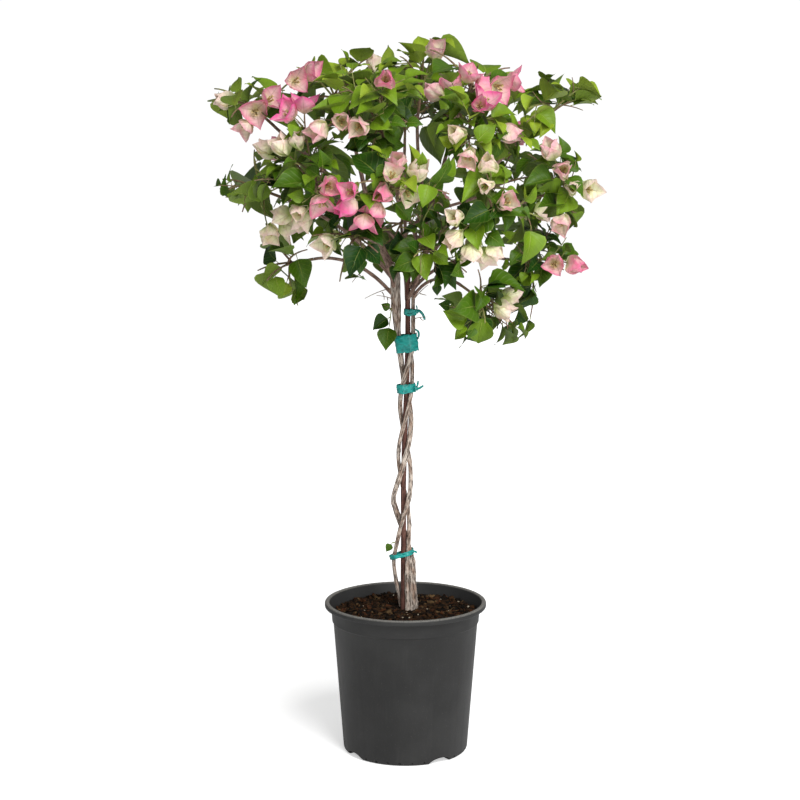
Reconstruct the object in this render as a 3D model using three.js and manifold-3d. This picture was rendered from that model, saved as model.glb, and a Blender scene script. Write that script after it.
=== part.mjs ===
// A potted bougainvillea standard: a round, open crown on a braided trunk, in a round nursery pot.
// Millimetres, +Z up. The origin is the middle of the pot's flat underside, and -Y is the front.
import * as THREE from 'three';
import { mergeVertices } from 'three/addons/utils/BufferGeometryUtils.js';
import Module from 'manifold-3d';

const wasm = await Module();
wasm.setup();

const gap = 0.3;                       // clearance between pieces that meet
const up = new THREE.Vector3(0, 0, 1);

const pot = {
  sides: 30, height: 238, wall: 2.2, floor: 3,
  footFlat: 91, footRadius: 98, footRise: 9,
  bandRadius: 113.2, bandFrom: 205, bandStep: 1.8, bandTop: 226, bandTopRadius: 116.6,
  lipRadius: 127, lipInner: 119.5, lipHeight: 8.5,
  notches: 4, notchTurn: -56, notchWidth: 40, notchHeight: 9, notchDepth: 15,
};
const soil = { top: 222, flatRadius: 40, edgeDrop: 3.5, clearance: 0.35 };

// The trunk: a straight leader with three stems wound round it. Each stem's turn (degrees round
// the leader), reach (from the leader's middle) and radius are given at the same heights.
const stations = [222, 300, 345, 400, 450, 510, 590, 625, 660, 700, 770];
const leader = { name: 'leader_stem', baseX: -3.2, topX: 3.4, leanFrom: 400, leanTo: 670 };
leader.top = 770;
leader.radius = [4.4, 4.3, 4.2, 4.2, 4.1, 4.1, 4.0, 4.0, 4.0, 3.9, 3.8];
const stems = [
  {
    name: 'braid_stem_thick', sides: 7, top: 768,
    turn: [0, 20, 85, 180, 255, 350, 480, 530, 540, 540, 540],
    reach: [15.3, 13.8, 10.8, 15.5, 10.2, 8.9, 8.8, 10.5, 15, 18.5, 20.5],
    radius: [7.0, 5.5, 4.6, 4.2, 4.0, 4.0, 4.0, 4.2, 5.2, 7.2, 7.2],
  },
  {
    name: 'braid_stem_slim', sides: 6, top: 742,
    turn: [-45, -50, 5, 65, 140, 240, 370, 400, 450, 460, 470],
    reach: [8.6, 8.3, 8.5, 11.5, 9.4, 8.3, 8.1, 8.1, 8.3, 8.4, 8.8],
    radius: [3.6, 3.3, 3.2, 3.2, 3.1, 3.1, 3.1, 3.0, 3.0, 3.0, 2.9],
  },
  {
    name: 'braid_stem_looped', sides: 6, top: 736,
    turn: [110, 180, 230, 305, 370, 470, 600, 660, 700, 710, 720],
    reach: [8.3, 15.8, 11.5, 13.8, 9.8, 8.6, 9.6, 9.2, 8.7, 8.5, 8.5],
    radius: [3.2, 2.9, 3.2, 3.5, 3.4, 3.3, 3.6, 3.5, 3.3, 3.1, 2.9],
  },
];
const stemSteps = 30;
const leaderSteps = 8;
const stemBelowCut = 6;                // run below the soil's top before the flat cut

const ties = [
  { name: 'tie_upper', z: 693, height: 9, tilt: 0, skips: 'braid_stem_thick' },
  { name: 'tie_wide', z: 645, height: 27, tilt: 8 },
  { name: 'tie_knotted', z: 575, height: 14, tilt: 4 },
  { name: 'tie_low', z: 314, height: 7, tilt: 15 },
];
const tieThickness = 1.1;
const tieClearance = 0.55;

// The crown: masses by azimuth (degrees, -90 is the front), distance out and height, each on its
// own bough, which leaves its parent limb at a fraction of that limb's length.
const crown = {
  depth: 0.95,                         // of the width at the same height
  arch: { middle: -48, height: 738, half: 82, slope: 2.4, forward: 0.1 },   // the open underside
  heights: [640, 665, 700, 735, 775, 815, 850, 885, 925, 975, 1005, 1030, 1050, 1065, 1085, 1119],
  left: [30, 118, 182, 230, 226, 222, 250, 292, 280, 264, 302, 311, 270, 175, 122, 28],
  right: [180, 208, 205, 208, 262, 258, 270, 294, 270, 246, 296, 304, 266, 160, 116, 68],
};
// Gaps that show sky from the eye: the x, height and radius of each in the upright plane of the trunk.
const eye = new THREE.Vector3(-9, -3000, 1016);
const skyGaps = [
  [-250, 920, 19], [-234, 950, 14], [-225, 838, 17], [241, 997, 16], [106, 1059, 13], [-108, 1027, 9],
  [-135, 785, 10], [-106, 767, 12], [28, 755, 12], [-47, 721, 18], [-205, 1048, 14], [-150, 995, 7],
];
const hub = new THREE.Vector3(-6, 0, 800);
const masses = [
  { name: 'crown_top', turn: 20, out: 26, height: 1038, from: 'leader_stem', at: 0.985, root: 3.7 },
  { name: 'top_left', turn: 165, out: 115, height: 1025, from: 'braid_stem_thick', at: 0.985, root: 5 },
  { name: 'top_right', turn: -30, out: 115, height: 1040, from: 'bough_crown_top', at: 0.3, root: 3.2 },
  { name: 'upper_left', turn: 188, out: 230, height: 1004, from: 'bough_top_left', at: 0.3, root: 3.8 },
  { name: 'upper_right', turn: 2, out: 226, height: 1000, from: 'leader_stem', at: 0.955, root: 3.4 },
  { name: 'mid_left', turn: 191, out: 232, height: 886, from: 'braid_stem_thick', at: 0.95, root: 3.6 },
  { name: 'mid_right', turn: -9, out: 232, height: 880, from: 'leader_stem', at: 0.925, root: 3.2 },
  { name: 'low_left', turn: 186, out: 182, height: 768, from: 'braid_stem_thick', at: 0.905, root: 3 },
  { name: 'low_right', turn: -2, out: 196, height: 768, from: 'braid_stem_looped', at: 0.985, root: 2.8 },
  { name: 'bottom_right', turn: -42, out: 150, height: 722, from: 'braid_stem_looped', at: 0.962, root: 2.5 },
  { name: 'front_high', turn: -106, out: 135, height: 985, from: 'bough_crown_top', at: 0.16, root: 3.2 },
  { name: 'front_upper', turn: -56, out: 165, height: 968, from: 'bough_crown_top', at: 0.08, root: 3 },
  { name: 'front_middle', turn: -94, out: 200, height: 893, from: 'bough_front_high', at: 0.3, root: 2.8 },
  { name: 'front_left', turn: -133, out: 205, height: 892, from: 'bough_top_left', at: 0.14, root: 3 },
  { name: 'front_right', turn: -52, out: 205, height: 858, from: 'leader_stem', at: 0.895, root: 3 },
  { name: 'front_under', turn: -76, out: 135, height: 800, from: 'bough_front_right', at: 0.2, root: 2.6 },
  { name: 'front_low', turn: -118, out: 165, height: 818, from: 'braid_stem_thick', at: 0.925, root: 2.9 },
  { name: 'back_high', turn: 90, out: 160, height: 985, from: 'braid_stem_slim', at: 0.985, root: 2.8 },
  { name: 'back_left', turn: 139, out: 205, height: 890, from: 'bough_back_high', at: 0.22, root: 2.7 },
  { name: 'back_right', turn: 41, out: 205, height: 885, from: 'bough_back_high', at: 0.34, root: 2.7 },
  { name: 'back_low', turn: 92, out: 180, height: 820, from: 'braid_stem_slim', at: 0.94, root: 2.7 },
];
const boughTip = 2.3;                  // radius where a bough enters its mass
const stemLength = 42;                 // a mass's own stem, up to the mass's middle
const shootsPerMass = 7;
const leastFreeShoots = 3;
const shootReach = 80;
const tipLeaf = 46;                    // how far the leaf at a shoot's end reaches past it
const leafSpacing = 26;
const leafLength = { least: 57, most: 80 };
const leafWidth = 0.74;                // of the length
const bractLength = 36;
const bladeThickness = 0.024;         // of the length
const twig = { root: 1.9, tip: 1.5, band: 1.3 };   // radii, and half the length of a leaf's band
const limbClearance = 1.6;
const cellMargin = 1.2;

// Furthest tips and blossoms, each grown by the mass whose space it lies in.
const tips = [
  [-306, -30, 1028], [-150, -60, 1050], [-60, -20, 1088], [-14, 10, 1098], [26, 20, 1114], [104, 0, 1080],
  [288, -10, 1034], [246, -30, 1058], [248, -60, 955], [288, -30, 898], [-290, -40, 884],
  [-250, -60, 846], [-222, -20, 745], [-176, -30, 700], [-160, -30, 688], [-67, -170, 785],
  [126, -70, 674], [168, -35, 652], [196, -60, 690], [60, -190, 758], [-6, -150, 762], [-96, -215, 945],
  [0, 255, 905], [-120, 226, 930], [124, 224, 925], [-40, 190, 740], [186, 145, 800], [-180, 115, 800],
];
const blossoms = [
  [-151, -59, 1051], [-145, -167, 997], [-221, -75, 1000], [-252, -38, 1011], [-113, -189, 978],
  [-62, -199, 982], [-191, -129, 936], [-169, -165, 938], [39, -18, 1077], [71, -136, 1027],
  [108, -156, 1005], [129, -110, 1036], [-13, -222, 920], [-1, -222, 889], [88, -218, 943],
  [118, -222, 917], [135, -146, 970], [229, -110, 911], [262, -71, 885], [229, -87, 845], [243, -55, 773],
  [-114, -222, 898], [-71, -222, 874], [-26, -222, 890], [-147, -156, 857], [-203, -112, 832],
  [-104, -163, 814], [80, -196, 830], [103, -172, 818], [138, -193, 871], [131, -100, 716],
  [-31, -211, 1038], [60, 215, 985], [-70, 200, 1000], [-190, 150, 925], [175, 165, 945], [205, 120, 850],
  [30, 222, 830], [-105, 190, 800], [-40, 130, 1060], [100, 150, 1020],
];

// Short leafy sprigs on the bare trunk: where they leave their stem, how they run, and each
// leaf's direction (degrees in the upright plane, 180 is left), lean from it and length, from the end back.
const sprigs = [
  {
    name: 'sprig_left', from: 'braid_stem_thick', z: 702, turn: 203, run: [-3, -6, -26],
    leaves: [[-101, -0.43, 42], [-147, -0.25, 34], [148, -0.1, 18]],
  },
  {
    name: 'sprig_low', from: 'braid_stem_looped', z: 334, turn: 205, run: [-5, -2, -1],
    leaves: [[-128, -0.25, 17]],
  },
];

const paint = {
  pot: { color: 0x3c3c3e, roughness: 0.62, metalness: 0 },
  soil: { color: 0x3b2a1d, roughness: 0.95, metalness: 0 },
  leader: { color: 0x5a3029, roughness: 0.8, metalness: 0 },
  bark: { color: 0x9a8a7c, roughness: 0.85, metalness: 0 },
  bough: { color: 0x6d5148, roughness: 0.85, metalness: 0 },
  tie: { color: 0x1f9a90, roughness: 0.45, metalness: 0 },
  leaf: { color: 0x4c6322, roughness: 0.6, metalness: 0 },
};

const radians = THREE.MathUtils.degToRad;

function point(x, y, z) {
  return new THREE.Vector3(x, y, z);
}

// A point at an azimuth and a distance from the upright axis.
function polar(turn, out, height) {
  return point(out * Math.cos(radians(turn)), out * Math.sin(radians(turn)), height);
}

// A repeatable stream of numbers from 0 to 1.
function seeded(seed) {
  let state = seed;
  return () => {
    state = (state + 0x6d2b79f5) | 0;
    let mix = Math.imul(state ^ (state >>> 15), 1 | state);
    mix = (mix + Math.imul(mix ^ (mix >>> 7), 61 | mix)) ^ mix;
    return ((mix ^ (mix >>> 14)) >>> 0) / 4294967296;
  };
}

// The value at a height, straight between the values given at some heights.
function between(heights, values, z) {
  let k = 0;
  while (k < heights.length - 2 && z > heights[k + 1]) k += 1;
  const part = (z - heights[k]) / (heights[k + 1] - heights[k]);
  return THREE.MathUtils.lerp(values[k], values[k + 1], part);
}

function atStation(values, z) {
  return between(stations, values, z);
}

// A closed solid from a closed geometry, with its faces turned outwards.
function solidFrom(geometry) {
  const bare = geometry.index ? geometry.toNonIndexed() : geometry.clone();
  bare.deleteAttribute('normal');
  bare.deleteAttribute('uv');
  const merged = mergeVertices(bare, 1e-4);
  const corners = merged.index.array;
  const kept = [];
  for (let k = 0; k < corners.length; k += 3) {
    const [a, b, c] = [corners[k], corners[k + 1], corners[k + 2]];
    if (a !== b && b !== c && c !== a) kept.push(a, b, c);
  }
  const vertProperties = new Float32Array(merged.attributes.position.array);
  const make = (triVerts) => new wasm.Manifold(new wasm.Mesh({ numProp: 3, vertProperties, triVerts }));
  const solid = make(new Uint32Array(kept));
  return solid.volume() > 0 ? solid : make(new Uint32Array(kept.reverse()));
}

// The largest body of a solid: loose scraps and sealed hollows fall away.
function mainBody(solid) {
  return solid.decompose().reduce((best, body) => (body.volume() > best.volume() ? body : best));
}

function meshFrom(name, solid, look) {
  const { vertProperties, triVerts } = solid.getMesh();
  const geometry = new THREE.BufferGeometry();
  geometry.setAttribute('position', new THREE.BufferAttribute(new Float32Array(vertProperties), 3));
  geometry.setIndex(new THREE.BufferAttribute(new Uint32Array(triVerts), 1));
  geometry.computeVertexNormals();
  const mesh = new THREE.Mesh(geometry, new THREE.MeshStandardMaterial(look));
  mesh.name = name;
  return mesh;
}

// A solid of revolution about the upright axis from [radius, height] points.
function turned(profile, sides) {
  const points = profile.map(([radius, height]) => new THREE.Vector2(radius, height));
  return solidFrom(new THREE.LatheGeometry(points, sides).rotateX(Math.PI / 2));
}

// A closed cylinder bent along a curve, with its half-widths given by the fraction of its length.
function bentRod(curve, halfWidths, sides, steps) {
  const rod = new THREE.CylinderGeometry(1, 1, 1, sides, steps);
  const frames = curve.computeFrenetFrames(steps);
  const places = rod.attributes.position;
  for (let k = 0; k < places.count; k += 1) {
    const part = places.getY(k) + 0.5;
    const ring = Math.round(part * steps);
    const [wide, thick] = halfWidths(part);
    const place = curve.getPointAt(part)
      .addScaledVector(frames.binormals[ring], places.getX(k) * wide)
      .addScaledVector(frames.normals[ring], places.getZ(k) * thick);
    places.setXYZ(k, place.x, place.y, place.z);
  }
  return solidFrom(rod);
}

function taperedRod(curve, rootRadius, tipRadius, sides, steps) {
  const halfWidth = (part) => THREE.MathUtils.lerp(rootRadius, tipRadius, part);
  return bentRod(curve, (part) => [halfWidth(part), halfWidth(part)], sides, steps);
}

// A direction square to the twig, turned round it.
function sideways(along, turn) {
  const level = Math.abs(along.z) > 0.95 ? point(1, 0, 0) : up;
  const first = along.clone().cross(level).normalize();
  const second = along.clone().cross(first);
  return first.multiplyScalar(Math.cos(turn)).addScaledVector(second, Math.sin(turn));
}

// A folded leaf blade from its place on a twig, with its upper side towards facing.
function makeBlade(place, along, facing, length, width, fold, sag) {
  const normal = facing.clone().addScaledVector(along, -facing.dot(along)).normalize();
  const across = along.clone().cross(normal).normalize();
  const middle = place.clone().addScaledVector(along, length * 0.42);
  const lifted = middle.clone().addScaledVector(normal, fold);
  const tip = place.clone().addScaledVector(along, length).addScaledVector(normal, -sag);
  const left = lifted.clone().addScaledVector(across, width / 2);
  const right = lifted.clone().addScaledVector(across, -width / 2);
  const patches = [[place, left, middle], [left, tip, middle], [tip, right, middle], [right, place, middle]];
  const edges = [[place, left], [left, tip], [tip, right], [right, place], [place, middle], [middle, tip]];
  return { tip, left, right, middle, normal, length, patches, edges };
}

// A twig's frame: its plane stays the same along a flat curve, so its rings don't twist.
function twigSide(tangent, plane, turn) {
  const square = tangent.clone().cross(plane);
  return plane.clone().multiplyScalar(Math.cos(turn)).addScaledVector(square, Math.sin(turn));
}

function planeOf(curve) {
  const [start, middle, end] = [0, 0.5, 1].map((part) => curve.getPoint(part));
  const bow = middle.sub(start).cross(end.sub(start));
  return bow.length() > 1 ? bow.normalize() : sideways(curve.getTangent(0.5), 0);
}

// Two loops of corners joined by a strip of triangles, started where the strip comes out shortest.
function stripBetween(lower, upper, places) {
  const strips = upper.map((_, shift) => {
    const faces = [];
    let [a, b] = [0, 0];
    while (a < lower.length || b < upper.length) {
      const [low, high] = [lower[a % lower.length], upper[(b + shift) % upper.length]];
      const raiseLower = b === upper.length || (a < lower.length && a / lower.length <= b / upper.length);
      if (raiseLower) faces.push([low, lower[(a + 1) % lower.length], high]);
      else faces.push([low, upper[(b + 1 + shift) % upper.length], high]);
      if (raiseLower) a += 1;
      else b += 1;
    }
    const span = faces.reduce((sum, [p, , r]) => sum + places[p].distanceTo(places[r]), 0);
    return { faces, span };
  });
  return strips.reduce((best, strip) => (strip.span < best.span ? strip : best)).faces;
}

// A three-sided twig with its blades fused on: each grows out of one side of a short band, and
// the last one out of the twig's end. A node is { part, turn, blades } with a blade for each side.
// Its sides are counted from the one nearest the last band's, so that the twig hardly twists.
function twigSolid(curve, nodes, endBlade) {
  const third = radians(120);
  const plane = planeOf(curve);
  const length = curve.getLength();
  const places = [];
  const faces = [];
  const addPlace = (place) => places.push(place) - 1;
  const addRing = (part, turn) => {
    const radius = THREE.MathUtils.lerp(twig.root, twig.tip, part);
    const [middle, tangent] = [curve.getPoint(part), curve.getTangent(part)];
    return [-1, 1, 3].map((corner) => (
      addPlace(twigSide(tangent, plane, turn + corner * Math.PI / 3).multiplyScalar(radius).add(middle))));
  };
  const addBlade = (loop, blade) => {
    const half = blade.length * bladeThickness / 2;
    const lower = addPlace(blade.middle.clone().addScaledVector(blade.normal, -half));
    const upper = addPlace(blade.middle.clone().addScaledVector(blade.normal, half));
    const rim = [addPlace(blade.left), lower, addPlace(blade.right), upper];
    const tip = addPlace(blade.tip);
    faces.push(...stripBetween(loop, rim, places));
    rim.forEach((corner, k) => faces.push([corner, rim[(k + 1) % 4], tip]));
  };
  const addSides = (low, high, blades) => low.forEach((_, side) => {
    const next = (side + 1) % 3;
    const loop = [low[side], low[next], high[next], high[side]];
    if (blades[side]) addBlade(loop, blades[side]);
    else faces.push([loop[0], loop[1], loop[2]], [loop[0], loop[2], loop[3]]);
  });
  let turn = nodes[0].turn;
  let last = addRing(0, turn);
  faces.push([last[0], last[2], last[1]]);
  for (const node of nodes) {
    const thirds = Math.round((node.turn - turn) / third);
    turn = node.turn - thirds * third;
    const blades = [0, 1, 2].map((side) => node.blades[THREE.MathUtils.euclideanModulo(side - thirds, 3)]);
    const low = addRing(node.part - twig.band / length, turn);
    const high = addRing(Math.min(1, node.part + twig.band / length), turn);
    addSides(last, low, []);
    addSides(low, high, blades);
    last = high;
  }
  if (endBlade) {
    const end = addRing(1, turn);
    addSides(last, end, []);
    addBlade(end, endBlade);
  } else {
    faces.push(last);
  }
  const geometry = new THREE.BufferGeometry().setFromPoints(places);
  geometry.setIndex(faces.flat());
  return solidFrom(geometry);
}

// ---- the pot and its soil ----

const bandStart = pot.bandFrom + 4;
const lipFrom = pot.height - pot.lipHeight;
const outerWall = [
  [0, 0], [pot.footFlat, 0], [pot.footRadius - 1.4, 3], [pot.footRadius, pot.footRise],
  [pot.bandRadius, pot.bandFrom], [pot.bandRadius + pot.bandStep, bandStart],
  [pot.bandTopRadius, pot.bandTop], [pot.lipRadius - 0.5, lipFrom + 1],
  [pot.lipRadius, pot.height - 2], [pot.lipRadius - 3, pot.height],
];
const innerWall = [
  [pot.lipInner, pot.height - 0.6], [pot.bandTopRadius - pot.wall, pot.bandTop + 2],
  [pot.bandRadius - pot.wall, pot.bandFrom + 1], [pot.footRadius - pot.wall, pot.footRise],
  [pot.footFlat, pot.floor], [0, pot.floor],
];

// A drain notch at the foot: an arch cut inwards through the lower edge of the wall.
function notchCutter(turn) {
  const arch = new THREE.Shape();
  const half = pot.notchWidth / 2;
  arch.moveTo(-half, -1);
  arch.lineTo(half, -1);
  arch.lineTo(half * 0.72, pot.notchHeight * 0.8);
  arch.lineTo(half * 0.3, pot.notchHeight);
  arch.lineTo(-half * 0.3, pot.notchHeight);
  arch.lineTo(-half * 0.72, pot.notchHeight * 0.8);
  arch.closePath();
  const cutter = new THREE.ExtrudeGeometry(arch, { depth: pot.notchDepth * 2, bevelEnabled: false });
  cutter.rotateX(Math.PI / 2).translate(0, pot.footFlat + pot.notchDepth * 1.3, 0);
  return solidFrom(cutter.rotateZ(radians(turn - 90)));
}

function makePot() {
  let shell = turned([...outerWall, ...innerWall], pot.sides);
  for (let k = 0; k < pot.notches; k += 1) {
    shell = shell.subtract(notchCutter(pot.notchTurn + k * 360 / pot.notches));
  }
  return mainBody(shell);
}

function makeSoil() {
  const edge = soil.top - soil.edgeDrop;
  const rimPart = (edge - pot.bandFrom - 1) / (pot.bandTop + 1 - pot.bandFrom);
  const bandInner = pot.bandRadius - pot.wall;
  const edgeRadius = THREE.MathUtils.lerp(bandInner, pot.bandTopRadius - pot.wall, rimPart);
  const notchInner = pot.footFlat - pot.notchDepth;
  const shelf = pot.notchHeight + 1;
  const inset = (radius, height) => [radius - soil.clearance, height];
  return turned([
    [0, pot.floor + gap], [notchInner, pot.floor + gap], [notchInner, shelf],
    inset(pot.footRadius - pot.wall, shelf), inset(bandInner, pot.bandFrom + 1),
    inset(edgeRadius, edge), [soil.flatRadius, soil.top], [0, soil.top],
  ], pot.sides);
}

// ---- the trunk ----

function leaderMiddle(z) {
  const lean = THREE.MathUtils.smoothstep(z, leader.leanFrom, leader.leanTo);
  return point(THREE.MathUtils.lerp(leader.baseX, leader.topX, lean), 0, z);
}

function stemMiddle(stem, z) {
  const turn = radians(atStation(stem.turn, z));
  const reach = atStation(stem.reach, z);
  return leaderMiddle(z).add(point(reach * Math.cos(turn), reach * Math.sin(turn), 0));
}

const limbs = new Map();               // every limb's curve and radius, by name

function addLimb(name, curve, radiusAt, steps) {
  const samples = [];
  for (let k = 0; k <= steps; k += 1) {
    samples.push({ place: curve.getPointAt(k / steps), radius: radiusAt(k / steps) });
  }
  limbs.set(name, { curve, radiusAt, samples });
}

function growStem(name, middleAt, radii, top, sides, steps) {
  const foot = soil.top + gap - stemBelowCut;
  const heights = Array.from({ length: stemSteps + 1 }, (_, k) => foot + (top - foot) * k / stemSteps);
  const curve = new THREE.CatmullRomCurve3(heights.map(middleAt));
  const radiusAt = (part) => atStation(radii, curve.getPointAt(part).z);
  addLimb(name, curve, radiusAt, 140);
  const rod = bentRod(curve, (part) => [radiusAt(part), radiusAt(part)], sides, steps);
  return mainBody(rod.trimByPlane([0, 0, 1], soil.top + gap));
}

// ---- the ties ----

// The smallest convex outline round a set of flat points.
function wrapOutline(points) {
  const sorted = [...points].sort((a, b) => a.x - b.x || a.y - b.y);
  const turnOf = (a, b, c) => (b.x - a.x) * (c.y - a.y) - (b.y - a.y) * (c.x - a.x);
  const halfHull = (list) => {
    const hull = [];
    for (const next of list) {
      while (hull.length > 1 && turnOf(hull.at(-2), hull.at(-1), next) <= 1.5) hull.pop();
      hull.push(next);
    }
    return hull.slice(0, -1);
  };
  return [...halfHull(sorted), ...halfHull(sorted.reverse())];
}

// Points of the stems' surfaces, grown outwards, in the frame of a tie that slants across the front.
function wrappedPoints(tie, grow) {
  const points = [];
  const tilt = radians(tie.tilt);
  const rim = 8;
  for (const [name, limb] of limbs) {
    for (const { place, radius } of name === tie.skips ? [] : limb.samples) {
      const [x, rise] = [place.x, place.z - tie.z];
      const level = rise * Math.cos(tilt) - x * Math.sin(tilt);
      const wide = (radius + grow) / Math.cos(Math.PI / rim);
      for (let k = 0; Math.abs(level) < tie.height / 2 + 4 && k < rim; k += 1) {
        const turn = 2 * Math.PI * k / rim;
        const across = x * Math.cos(tilt) + rise * Math.sin(tilt) + wide * Math.cos(turn);
        points.push(new THREE.Vector2(across, place.y + wide * Math.sin(turn)));
      }
    }
  }
  return wrapOutline(points);
}

function ribbon(places, halfWidth, halfThickness) {
  const curve = new THREE.CatmullRomCurve3(places.map((place) => point(...place)));
  return bentRod(curve, () => [halfWidth, halfThickness], 4, 3);
}

// The tails and the loop of each tie, from its right-hand side at x.
function tieEnds(tie, x) {
  const { z } = tie;
  const rise = Math.sin(radians(tie.tilt)) * x;
  switch (tie.name) {
    case 'tie_upper':
      return [
        ribbon([[x - 1, -2, z + 2], [x + 5, -4, z + 3], [x + 11, -6, z - 4], [x + 14, -6, z - 12]], 2.6, 0.7),
        ribbon([[x - 1, -3, z], [x + 2, -5, z + 5], [x + 1, -6, z + 11]], 1.8, 0.7),
      ];
    case 'tie_wide':
      return [
        ribbon([[x - 1.5, -2, z + 3], [x + 3, -4, z + 10], [x + 2, -4, z + 20], [x - 3, -3, z + 24]], 2, 0.7),
      ];
    case 'tie_knotted':
      return [
        ribbon([[x - 2, -3, z], [x + 2, -4, z], [x + 5, -4, z - 1]], 3.6, 2.6),
        ribbon([[x + 2, -4, z], [x + 4, -4, z + 6], [x + 5, -5, z + 12]], 1.8, 0.9),
        ribbon([[x + 2, -4, z], [x + 7, -5, z + 1], [x + 13, -6, z + 4]], 1.8, 0.9),
      ];
    default:
      return [
        ribbon([[x - 2, -1, z + rise], [x + 2, -3, z + rise + 1], [x + 5, -4, z + rise - 1]], 2.4, 0.9),
      ];
  }
}

function makeTie(tie) {
  const inner = wrappedPoints(tie, tieClearance);
  const outer = wrappedPoints(tie, tieClearance + tieThickness);
  const band = new THREE.Shape(outer);
  band.holes.push(new THREE.Path(inner));
  const loop = new THREE.ExtrudeGeometry(band, { depth: tie.height, bevelEnabled: false });
  loop.translate(0, 0, -tie.height / 2).rotateY(-radians(tie.tilt)).translate(0, 0, tie.z);
  const side = Math.max(...outer.map((corner) => corner.x));
  const coreDepth = { depth: tie.height * 3, bevelEnabled: false };
  const core = new THREE.ExtrudeGeometry(new THREE.Shape(inner), coreDepth);
  core.translate(0, 0, -tie.height * 1.5).rotateY(-radians(tie.tilt)).translate(0, 0, tie.z);
  const ends = wasm.Manifold.union(tieEnds(tie, side * Math.cos(radians(tie.tilt))));
  return mainBody(solidFrom(loop).add(ends.subtract(solidFrom(core))));
}

// ---- the boughs ----

const centres = masses.map((mass) => polar(mass.turn, mass.out, mass.height));

function enterDirection(index) {
  return centres[index].clone().sub(hub).normalize();
}

// A bough arches from inside its parent limb to the start of its mass's own stem.
function boughCurve(mass, index) {
  const enter = enterDirection(index);
  const tip = centres[index].clone().addScaledVector(enter, -stemLength);
  const root = limbs.get(mass.from).curve.getPointAt(mass.at);
  const span = tip.distanceTo(root);
  const outward = point(tip.x - root.x, tip.y - root.y, 0).normalize();
  const rise = up.clone().multiplyScalar(0.75).addScaledVector(outward, 0.55).normalize();
  return new THREE.CubicBezierCurve3(
    root, root.clone().addScaledVector(rise, span * 0.38),
    tip.clone().addScaledVector(enter, -span * 0.34), tip,
  );
}

// What is left of a limb's rod outside the limbs that were there before it.
function cutClear(rod, earlier) {
  return mainBody(earlier.reduce((left, other) => left.subtract(other), rod));
}

// ---- the masses of foliage ----

function inCrown(place) {
  const [left, right] = [crown.left, crown.right].map((widths) => between(crown.heights, widths, place.z));
  const level = place.z > crown.heights[0] && place.z < crown.heights.at(-1);
  const depth = crown.depth * (left + right) / 2;
  const { middle, height, half, slope, forward } = crown.arch;
  const floor = height - forward * place.y - slope * Math.max(0, Math.abs(place.x - middle) - half);
  return level && place.z > floor && Math.hypot(place.x / (place.x < 0 ? left : right), place.y / depth) < 1;
}

function shadesGap(place) {
  const scale = eye.y / (eye.y - place.y);
  const [x, z] = [eye.x + (place.x - eye.x) * scale, eye.z + (place.z - eye.z) * scale];
  return skyGaps.some(([middle, height, radius]) => Math.hypot(x - middle, z - height) < radius);
}

// Inside the mass's own space: nearer its centre than any other's, and within the crown's outline.
function inOwnSpace(place, index) {
  const own = centres[index];
  const nearest = place.distanceToSquared(own);
  const kept = centres.every((other, k) => k === index
    || place.distanceToSquared(other) - nearest > 2 * cellMargin * own.distanceTo(other));
  return kept && inCrown(place);
}

const patch = new THREE.Triangle();
const nearestPlace = point(0, 0, 0);

function clearOfLimbs(blade) {
  for (const limb of limbs.values()) {
    for (const { place, radius } of limb.samples) {
      if (place.distanceTo(blade.middle) > blade.length + radius) continue;
      for (const [a, b, c] of blade.patches) {
        patch.set(a, b, c).closestPointToPoint(place, nearestPlace);
        if (nearestPlace.distanceTo(place) < radius + limbClearance) return false;
      }
    }
  }
  return true;
}

function rodClear(curve, radius) {
  for (let k = 0; k <= 12; k += 1) {
    const spot = curve.getPoint(k / 12);
    for (const limb of limbs.values()) {
      for (const sample of limb.samples) {
        if (sample.place.distanceTo(spot) < sample.radius + radius + limbClearance) return false;
      }
    }
  }
  return true;
}

const ray = new THREE.Ray();

function pierces([from, to], patches) {
  const span = from.distanceTo(to);
  ray.set(from, to.clone().sub(from).divideScalar(span));
  return patches.some(([a, b, c]) => (
    ray.intersectTriangle(a, b, c, false, nearestPlace) && nearestPlace.distanceTo(from) < span));
}

function bladesCross(one, other) {
  if (one.middle.distanceTo(other.middle) > (one.length + other.length) * 0.6) return false;
  return one.edges.some((edge) => pierces(edge, other.patches))
    || other.edges.some((edge) => pierces(edge, one.patches));
}

// A blade is kept where it stays in its space and clear of limbs, twigs and the blades before it.
function bladeFits(blade, index, twigs, blades) {
  const { tip, left, right, middle, patches } = blade;
  return [tip, left, right, middle].every((place) => inOwnSpace(place, index) && !shadesGap(place))
    && !blades.some((other) => bladesCross(blade, other))
    && !twigs.some((edges) => edges.some((edge) => pierces(edge, patches)))
    && clearOfLimbs(blade);
}

// A shoot that arches from the mass's stem to a target, drawn in until it stays in its space.
function shootCurve(start, target, heading, index) {
  for (const part of [1, 0.86, 0.72, 0.58]) {
    const end = start.clone().lerp(target, part);
    const span = end.distanceTo(start);
    const bend = start.clone().lerp(end, 0.45).addScaledVector(heading, span * 0.16);
    bend.z += span * 0.1;
    const curve = new THREE.QuadraticBezierCurve3(start, bend, end);
    const inside = [0.25, 0.5, 0.75, 1].every((k) => inOwnSpace(curve.getPoint(k), index));
    if (inside && rodClear(curve, 2)) return curve;
  }
  return null;
}

// The first of several tries at a blade that fits: full size, then less drooping, then smaller.
function firstFitting(tries, makeTry, fits) {
  for (const [scale, droop] of tries) {
    const blade = makeTry(scale, droop);
    if (fits(blade)) return blade;
  }
  return null;
}

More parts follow.
